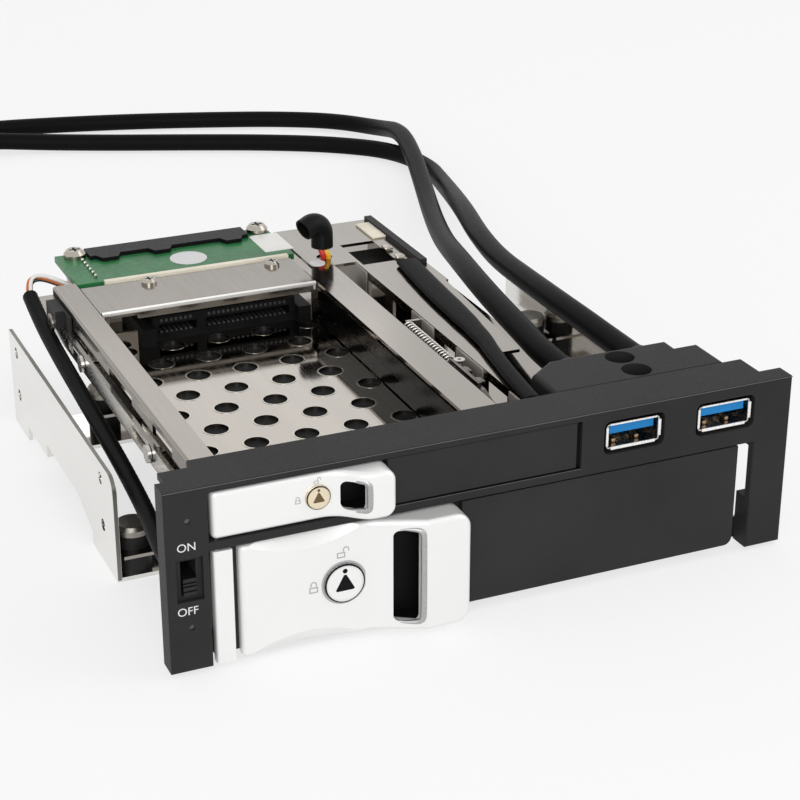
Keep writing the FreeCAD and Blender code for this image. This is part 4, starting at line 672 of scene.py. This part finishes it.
def arch(radius):
    angles = [math.pi * i / ARCH_STEPS for i in range(ARCH_STEPS + 1)]
    return [(radius * math.cos(angle), SHACKLE_RISE + radius * math.sin(angle)) for angle in angles]


def shackle():
    outside = [(SHACKLE_OUTER, SHACKLE_FOOT)] + arch(SHACKLE_OUTER) + [(-SHACKLE_OUTER, SHACKLE_FOOT)]
    inside = [(-SHACKLE_INNER, SHACKLE_FOOT)] + arch(SHACKLE_INNER)[::-1] + [(SHACKLE_INNER, SHACKLE_FOOT)]
    return outside + inside


for name, x, z, half, opened, body in PADLOCKS:
    swing = SHACKLE_SWING if opened else 0
    swung = [(a + swing, b) for a, b in shackle()]
    outline, window, bow = [[(a * half, b * half) for a, b in loop]
                            for loop in (PADLOCK_BODY, PADLOCK_WINDOW, swung)]
    add_plate(name, outline, [window, bow], PADLOCK_THICK, ON_FRONT, (x, PADLOCK_Y, z), GREY_PRINT_AND_SHADE, body)


# Words beside the switch

WORD_HEIGHT = 1.9
CAPITAL_SHARE = 0.73
WORD_Y, WORD_EXTRUDE = -0.01, 0.015
for name, word, x, z in (("on_word", "ON", -69.8, 30.2), ("off_word", "OFF", -70.1, 15.4)):
    font = bpy.data.curves.new(name, "FONT")
    font.body = word
    font.size = WORD_HEIGHT / CAPITAL_SHARE
    font.align_x = "CENTER"
    font.extrude = WORD_EXTRUDE
    mesh = mesh_of(font)
    mesh.transform(laid(ON_FRONT, (x, WORD_Y, z - WORD_HEIGHT / 2)))
    add_piece(name, mesh, PRINT, "chassis")


# Latch: spring, head and pin

COIL_RADIUS = 1.2
COIL_TURNS = 17
COIL_STEPS = 20 * COIL_TURNS
COIL_SIDES = 8
COIL_WIRE_RADIUS = 0.24
LATCH_HEAD = [
    ((9.7, 30, 39.3), (10.7, 45.6, 40.4)),
    ((10.6, 31, 38.6), (12.2, 34, 40.1)),
    ((10.6, 37.5, 38.6), (12, 40.5, 40.2)),
]
LATCH_HEAD_BEVEL = 0.2
LATCH_PIN = (11.7, 44.2, 40)
LATCH_PIN_RADIUS, LATCH_PIN_BORE, LATCH_PIN_HEIGHT = 1.35, 0.4, 0.9


def helix(centre, radius, length):
    turn = 2 * math.pi * COIL_TURNS
    return [centre + Vector((radius * math.cos(turn * i / COIL_STEPS), length * i / COIL_STEPS,
                             radius * math.sin(turn * i / COIL_STEPS))) for i in range(COIL_STEPS + 1)]


def coil_radius(ring, side):
    return COIL_WIRE_RADIUS * MM


low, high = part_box("latch_spring")
coil_start = Vector(((low.x + high.x) / 2, low.y, (low.z + high.z) / 2))
coil_line = helix(coil_start, COIL_RADIUS * MM, high.y - low.y)
spring = add_piece("spring_coil", tube_mesh("spring_coil", coil_line, COIL_SIDES, coil_radius),
                   FINISHES["bright_steel"], "chassis")
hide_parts("latch_spring")
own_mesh(spring)
add_blocks("latch_head", LATCH_HEAD, LATCH_HEAD_BEVEL, LATCH, "latch")
add_plate("latch_pin", ring_points(LATCH_PIN_RADIUS), [ring_points(LATCH_PIN_BORE)], LATCH_PIN_HEIGHT, ON_TOP,
          LATCH_PIN, FINISHES["bright_steel"], "latch")


# Screw recesses, drawn as flat crosses of painted shade

# Across, back, up and half-length of the cross
SCREW_TOPS = [
    (-52.7, 146.4, 43.06, 1.5), (-1.6, 146.4, 43.06, 1.5),
    (-40.3, 120.1, 42.16, 1.1), (-6.9, 120.1, 42.16, 1.1),
]
CROSS_ARM = 0.22


def cross(size):
    arm = size * CROSS_ARM
    return [(arm, arm), (size, arm), (size, -arm), (arm, -arm), (arm, -size), (-arm, -size), (-arm, -arm),
            (-size, -arm), (-size, arm), (-arm, arm), (-arm, size), (arm, size)]


# Each cross is flat dark colour: painted shade of the screw's recess
for number, (x, y, z, size) in enumerate(SCREW_TOPS):
    add_plate("screw_cross_%d" % number, cross(size), [], INK_THICK, ON_TOP, (x, y, z), DARK, "chassis")


# Contacts of the drive sockets

CONTACT_PITCH = 1.27
CONTACT_WIDTH = 0.7
CONTACT_BEVEL = 0.05
# Runs are along X; a row is a front and a back, then a low and a high
UPPER_RUNS = ((-41.6, -33), (-29, -8.6))
UPPER_ROWS = (((107.3, 113), (32.02, 32.5)), ((107.3, 109), (34.9, 35.7)))
LOWER_RUN = (-7.6, 24.6)
LOWER_ROW = ((148.9, 153.8), (12.32, 12.8))


def comb(run, row):
    """Contacts side by side along X, from the first place of a run to the last."""
    (first, last), ((front, back), (low, high)) = run, row
    starts = [first + i * CONTACT_PITCH for i in range(int((last - first) / CONTACT_PITCH) + 1)]
    return [((x, front, low), (x + CONTACT_WIDTH, back, high)) for x in starts]


upper_contacts = [contact for row in UPPER_ROWS for run in UPPER_RUNS for contact in comb(run, row)]
add_blocks("upper_socket_contacts", upper_contacts, CONTACT_BEVEL, PIN, "chassis")
lower_contacts = comb(LOWER_RUN, LOWER_ROW)
add_blocks("lower_socket_contacts", lower_contacts, CONTACT_BEVEL, GOLD, "chassis")


# Front ports

PORT_MIDDLES = (("left", 33.6), ("right", 56.9))
PORT_CONTACT_COUNT, PORT_CONTACT_PITCH = 4, 2.35
PORT_CONTACT_FIRST, PORT_CONTACT_WIDTH = -4.2, 1.2
# Corners, with X from the middle of the port
port_contact_starts = [PORT_CONTACT_FIRST + PORT_CONTACT_PITCH * i for i in range(PORT_CONTACT_COUNT)]
PORT_CONTACTS = [((x, 3.2, 36.3), (x + PORT_CONTACT_WIDTH, 10, 36.46)) for x in port_contact_starts]
PORT_SPRINGS = [((-4.4, 2.4, 33.6), (-3.2, 5.2, 34.7)), ((1.4, 2.4, 33.6), (2.6, 5.2, 34.7))]
PORT_RIM = [
    ((-5.9, 0.45, 38.85), (5.9, 0.8, 39.3)), ((-5.6, 0.45, 32.95), (5.6, 0.8, 33.7)),
    ((-6.85, 0.45, 34), (-6.25, 0.8, 38.5)), ((6.2, 0.45, 34.3), (7, 0.8, 38.3)),
]
# Name, corners, bevel and finish
PORT_PIECES = [
    ("_port_contacts", PORT_CONTACTS, 0.03, GOLD),
    ("_port_springs", PORT_SPRINGS, 0.45, SPRING_TAB),
    ("_port_rim", PORT_RIM, 0.12, RIM),
]
for side, middle in PORT_MIDDLES:
    for part, blocks, bevel, finish in PORT_PIECES:
        moved = [[(middle + x, y, z) for x, y, z in block] for block in blocks]
        add_blocks(side + part, moved, bevel, finish, "chassis")


# Green board

BOARD_TOP = 40.85
HEADER_PITCH = 2.54
BOARD_PIN_COUNT = 6
BOARD_PIN_X, BOARD_PIN_FIRST_Y = -52.1, 129.1
BOARD_PIN_WIDTH, BOARD_PIN_TOP, BOARD_PIN_BEVEL = 0.8, 41.8, 0.25
BOARD_DOT_X, BOARD_DOT_Y = -25.3, 133.8
BOARD_DOT_RADIUS, BOARD_DOT_THICK = 4.9, 0.12
PLATE_X, PLATE_Y = -5.2, 129.6
PLATE_WIDTH, PLATE_LENGTH, PLATE_CHAMFER, PLATE_THICK = 8, 13.6, 0.8, 0.2

board_pin_starts = [BOARD_PIN_FIRST_Y + HEADER_PITCH * i for i in range(BOARD_PIN_COUNT)]
board_pins = [((BOARD_PIN_X, y, BOARD_TOP),
               (BOARD_PIN_X + BOARD_PIN_WIDTH, y + BOARD_PIN_WIDTH, BOARD_PIN_TOP)) for y in board_pin_starts]
add_blocks("board_pins", board_pins, BOARD_PIN_BEVEL, FINISHES["bright_steel"], "chassis")
add_plate("board_dot", ring_points(BOARD_DOT_RADIUS), [], BOARD_DOT_THICK, ON_TOP,
          (BOARD_DOT_X, BOARD_DOT_Y, BOARD_TOP + BOARD_DOT_THICK / 2), PRINT, "chassis")
board_plate = [(0, 0), (PLATE_WIDTH, 0), (PLATE_WIDTH, PLATE_LENGTH), (PLATE_CHAMFER, PLATE_LENGTH),
               (0, PLATE_LENGTH - PLATE_CHAMFER)]
add_plate("board_plate", board_plate, [], PLATE_THICK, ON_TOP,
          (PLATE_X, PLATE_Y, BOARD_TOP + PLATE_THICK / 2), FINISHES["plug_white"], "chassis")


# Rims of the vents, and painted shade under the deck

DECK_TOP = 29.9
VENT_FIRST_X, VENT_FIRST_Y = -51.9, 20.7
VENT_PITCH_X, VENT_PITCH_Y = 12.1, 20.7
VENT_RIM_RADII = (3.3, 2.88)
VENT_RIM_POINTS = 28
VENT_RIM_THICK = 0.05
# How many vents each way, and how far these are moved, as a share of the pitch
VENT_GRIDS = ((5, 0), (4, 0.5))
DECK_SHADE = rectangle(-62, 9, 6.5, 109)
DECK_SHADE_THICK, DECK_SHADE_LEVEL = 0.08, 29.12

rims = []
for count, offset in VENT_GRIDS:
    for row in range(count):
        for column in range(count):
            x = VENT_FIRST_X + VENT_PITCH_X * (column + offset)
            y = VENT_FIRST_Y + VENT_PITCH_Y * (row + offset)
            for radius in VENT_RIM_RADII:
                rims.append([(x + a, y + b) for a, b in ring_points(radius, VENT_RIM_POINTS)])
add_plate("vent_rims", rims[0], rims[1:], VENT_RIM_THICK, ON_TOP, (0, 0, DECK_TOP + VENT_RIM_THICK / 2),
          NICKEL, "chassis")
# A dark sheet just under the deck top: painted shade seen through the vents
add_plate("deck_film", DECK_SHADE, [], DECK_SHADE_THICK, ON_TOP, (0, 0, DECK_SHADE_LEVEL), DARK, "chassis")


# Bridge lip with a painted highlight, painted light and shade on the rail walls, and the pusher

BRIDGE_LIP = [
    ((-57.2, 103.9, 39.9), (-0.7, 104.9, 40.95)),
    ((-57.2, 104.3, 38.6), (-56.6, 104.7, 40.6)),
    ((-1.3, 104.3, 38.6), (-0.7, 104.7, 40.6)),
]
BRIDGE_LIP_BEVEL = 0.22
CHANNEL_LEFT, CHANNEL_RIGHT = 13.98, 14.22
CHANNEL_LOW, CHANNEL_HIGH = 32, 40.5
CHANNEL_LENGTHS = ((9, 23), (36.5, 51), (64, 77), (106, 118))
CHANNEL_BEVEL = 0.08
RAIL_WALL_SHADE_OUTLINE = rectangle(8, 30.3, 103.5, 39.4)
RAIL_WALL_SHADE_THICK, RAIL_WALL_SHADE_X = 0.06, -0.54
PUSHER_RIVET = (-66.9, 117.5, 35.4)
RIVET_RADIUS, RIVET_BORE, RIVET_THICK = 2.3, 0.9, 0.7

# The lip is a real shape; its near-white colour is a painted highlight
add_blocks("bridge_lip", BRIDGE_LIP, BRIDGE_LIP_BEVEL, LIP, "chassis")
# Pale plates on the cover's left wall, between its windows: painted light on the lit parts of the wall
channel_plates = [((CHANNEL_LEFT, front, CHANNEL_LOW), (CHANNEL_RIGHT, back, CHANNEL_HIGH))
                  for front, back in CHANNEL_LENGTHS]
add_blocks("channel_plates", channel_plates, CHANNEL_BEVEL, WALL_LIGHT, "chassis")
# A nearly black sheet on the bay's right wall: painted shade
add_plate("rail_liner", RAIL_WALL_SHADE_OUTLINE, [], RAIL_WALL_SHADE_THICK, ON_SIDE, (RAIL_WALL_SHADE_X, 0, 0), RAIL_WALL_SHADE, "chassis")
add_plate("pusher_rivet", ring_points(RIVET_RADIUS), [ring_points(RIVET_BORE)], RIVET_THICK, ON_SIDE,
          PUSHER_RIVET, NICKEL, "upper_ejector")


# Cut edges of the side brackets

BRACKETS = (("left", -72.55), ("right", 72.55))
BRACKET_FRONT, BRACKET_BACK = 44, 140.4
BRACKET_FOOT, BRACKET_TOP = 0.4, 25.8
BRACKET_CORNER = 4
CORNER_STEPS = 10
EDGE_PROUD, EDGE_WIDTH = 0.04, 0.9


def bracket_line(shift):
    """The front and top edge of a side bracket, moved out by shift."""
    radius = BRACKET_CORNER + shift
    angles = [math.pi / 2 * i / CORNER_STEPS for i in range(CORNER_STEPS + 1)]
    corner = [(BRACKET_FRONT + BRACKET_CORNER - radius * math.cos(angle),
               BRACKET_TOP - BRACKET_CORNER + radius * math.sin(angle)) for angle in angles]
    return [(BRACKET_FRONT - shift, BRACKET_FOOT)] + corner + [(BRACKET_BACK, BRACKET_TOP + shift)]


for side, x in BRACKETS:
    outline = bracket_line(EDGE_PROUD) + bracket_line(-EDGE_PROUD)[::-1]
    add_plate(side + "_bracket_edge", outline, [], EDGE_WIDTH, ON_SIDE, (x, 0, 0), EDGE, "chassis")


# Painted highlights along the bezel's edges, and painted shade in the gap round the upper door

# Light strips along the bezel's top front edge and along the bar under the upper door: painted highlights
BEZEL_EDGE_HIGHLIGHTS = [
    ((-74.2, -0.03, 42.7), (74.2, 0.1, 42.88)),
    ((-25.2, -0.03, 29.98), (20.5, 0.06, 30.12)),
]
BEZEL_EDGE_BEVEL = 0.05
# Dark strips in the gap round the upper door: painted shade
DOOR_GAP_SHADE = [
    ((19.45, 0.9, 30.15), (20.45, 1.3, 41.4)),
    ((-25.2, 0.05, 30.08), (20.45, 0.9, 30.2)),
    ((-25.2, 0.3, 41.38), (20.45, 0.9, 41.5)),
]
DOOR_GAP_SHADE_BEVEL = 0.03

add_blocks("bezel_edges", BEZEL_EDGE_HIGHLIGHTS, BEZEL_EDGE_BEVEL, EDGE_HIGHLIGHT, "chassis")
# The gap's dark strips are painted shade
add_blocks("door_seal", DOOR_GAP_SHADE, DOOR_GAP_SHADE_BEVEL, DARK, "chassis")


# Right-hand cover

COVER_TOP = 40.85
COVER_RIVETS = [
    ((24.2, 117.4, 40.8), (26.8, 120.6, 42)),
    ((24.6, 110.4, 40.8), (27.2, 113, 41.9)),
]
COVER_RIVET_BEVEL = 0.55
DARK_SHEET = (15.2, 107.5, 37)
DARK_SHEET_WIDTH, DARK_SHEET_LENGTH, DARK_SHEET_THICK = 15, 23, 0.3
DARK_SHEET_CORNER = 1.2
COVER_PAD = ((25, 128, COVER_TOP), (29, 140, 41.5))
COVER_PAD_BEVEL = 0.2
WHITE_DOT_X, WHITE_DOT_Y = 4.4, 116.4
WHITE_DOT_RADIUS, WHITE_DOT_THICK = 2.1, 0.2

add_blocks("cover_rivets", COVER_RIVETS, COVER_RIVET_BEVEL, NICKEL, "chassis")
# The ring about the sheet's first corner cuts a notch there and leaves a round ear outside it
add_plate("dark_sheet", rectangle(0, 0, DARK_SHEET_WIDTH, DARK_SHEET_LENGTH),
          [ring_points(DARK_SHEET_CORNER)], DARK_SHEET_THICK, ON_TOP, DARK_SHEET, DARK, "chassis")
add_blocks("cover_pad", [COVER_PAD], COVER_PAD_BEVEL, FINISHES["board_cream"], "chassis")
add_plate("white_dot", ring_points(WHITE_DOT_RADIUS), [], WHITE_DOT_THICK, ON_TOP,
          (WHITE_DOT_X, WHITE_DOT_Y, COVER_TOP + WHITE_DOT_THICK / 2), PRINT, "chassis")


# Header plug at the end of the free leads

PLUG_CONTACT_COUNT = 9
PLUG_CONTACT_TIP, PLUG_CONTACT_ROOT = -63.9, -57
PLUG_CONTACT_FIRST_Y = 376.6
PLUG_CONTACT_LEVELS = (3.6, 6.14)
PLUG_CONTACT_WIDTH = 0.64
RIB_COUNT, RIB_PITCH = 4, 3
RIB_FIRST_X, RIB_WIDTH = -66, 1
RIB_LOW, RIB_HIGH, RIB_BEVEL = 2.4, 8, 0.08
# Front and back of the ribs on each side of the plug
RIB_SIDES = ((372.8, 373.1), (400.9, 401.2))

plug_contacts = []
for i in range(PLUG_CONTACT_COUNT):
    y = PLUG_CONTACT_FIRST_Y + HEADER_PITCH * i
    for z in PLUG_CONTACT_LEVELS:
        plug_contacts.append(((PLUG_CONTACT_TIP, y, z),
                              (PLUG_CONTACT_ROOT, y + PLUG_CONTACT_WIDTH, z + PLUG_CONTACT_WIDTH)))
add_blocks("plug_contacts", plug_contacts, CONTACT_BEVEL, GOLD, "chassis")
rib_starts = [RIB_FIRST_X + RIB_PITCH * i for i in range(RIB_COUNT)]
plug_ribs = [((x, front, RIB_LOW), (x + RIB_WIDTH, back, RIB_HIGH))
             for front, back in RIB_SIDES for x in rib_starts]
add_blocks("plug_ribs", plug_ribs, RIB_BEVEL, FINISHES["black_plastic"], "chassis")


# Stage and light

FLOOR_REACH = 6.0
FLOOR_DROP = 0.0002
FLOOR_SHADE = 0.95
FLOOR_GLOW = 0.7
WORLD_LIGHT = 0.62
BACKDROP_LIGHT = 1.0
WHITE = (1, 1, 1, 1)
LAMP_TARGET = Vector((0, 0, 0.02))
# Place, power and size
LAMPS = {
    "key": ((-0.55, -1.3, 0.6), 9, 0.8),
    "fill": ((1.1, -0.5, 0.8), 4, 0.9),
    "rim": ((0.2, 1.2, 0.9), 0.8, 0.7),
}


def seen(tree):
    """One for rays that show the background: straight to the camera, mirrored or through glass."""
    path = tree.nodes.new("ShaderNodeLightPath")
    first = tree.nodes.new("ShaderNodeMath")
    first.operation = "MAXIMUM"
    second = tree.nodes.new("ShaderNodeMath")
    second.operation = "MAXIMUM"
    tree.links.new(path.outputs["Is Camera Ray"], first.inputs[0])
    tree.links.new(path.outputs["Is Glossy Ray"], first.inputs[1])
    tree.links.new(first.outputs[0], second.inputs[0])
    tree.links.new(path.outputs["Is Transmission Ray"], second.inputs[1])
    return second.outputs[0]


def blended(tree, output, share, first, second):
    """Sends a blend of two shaders to the output: the second one by its share."""
    blend = tree.nodes.new("ShaderNodeMixShader")
    tree.links.new(share, blend.inputs[0])
    tree.links.new(first.outputs[0], blend.inputs[1])
    tree.links.new(second.outputs[0], blend.inputs[2])
    tree.links.new(blend.outputs[0], tree.nodes.new(output).inputs[0])


def setup_floor():
    mesh = bpy.data.meshes.new("floor")
    corners = rectangle(-FLOOR_REACH, -FLOOR_REACH, FLOOR_REACH, FLOOR_REACH)
    mesh.from_pydata([(x, y, 0) for x, y in corners], [], [(0, 1, 2, 3)])
    floor = bpy.data.objects.new("floor", mesh)
    SCENE.collection.objects.link(floor)
    floor.location.z = -FLOOR_DROP
    material = bpy.data.materials.new("floor")
    tree = clean_tree(material)
    matt = tree.nodes.new("ShaderNodeBsdfDiffuse")
    matt.inputs["Color"].default_value = (FLOOR_SHADE, FLOOR_SHADE, FLOOR_SHADE, 1)
    glow = tree.nodes.new("ShaderNodeEmission")
    share = tree.nodes.new("ShaderNodeMath")
    share.operation = "MULTIPLY"
    share.inputs[1].default_value = FLOOR_GLOW
    tree.links.new(seen(tree), share.inputs[0])
    blended(tree, "ShaderNodeOutputMaterial", share.outputs[0], matt, glow)
    mesh.materials.append(material)


def background(tree, strength):
    shader = tree.nodes.new("ShaderNodeBackground")
    shader.inputs["Color"].default_value = WHITE
    shader.inputs["Strength"].default_value = strength
    return shader


def setup_world():
    world = bpy.data.worlds.new("studio")
    SCENE.world = world
    tree = clean_tree(world)
    light = background(tree, WORLD_LIGHT)
    backdrop = background(tree, BACKDROP_LIGHT)
    blended(tree, "ShaderNodeOutputWorld", seen(tree), light, backdrop)


def add_lamp(name, place, power, size):
    lamp = bpy.data.lights.new(name, "AREA")
    lamp.energy = power
    lamp.size = size
    holder = bpy.data.objects.new(name, lamp)
    SCENE.collection.objects.link(holder)
    holder.location = place
    holder.rotation_euler = (LAMP_TARGET - Vector(place)).to_track_quat("-Z", "Y").to_euler()


setup_floor()
setup_world()
for name, (place, power, size) in LAMPS.items():
    add_lamp(name, place, power, size)
SCENE.view_settings.view_transform = "Standard"

bpy.context.view_layer.update()
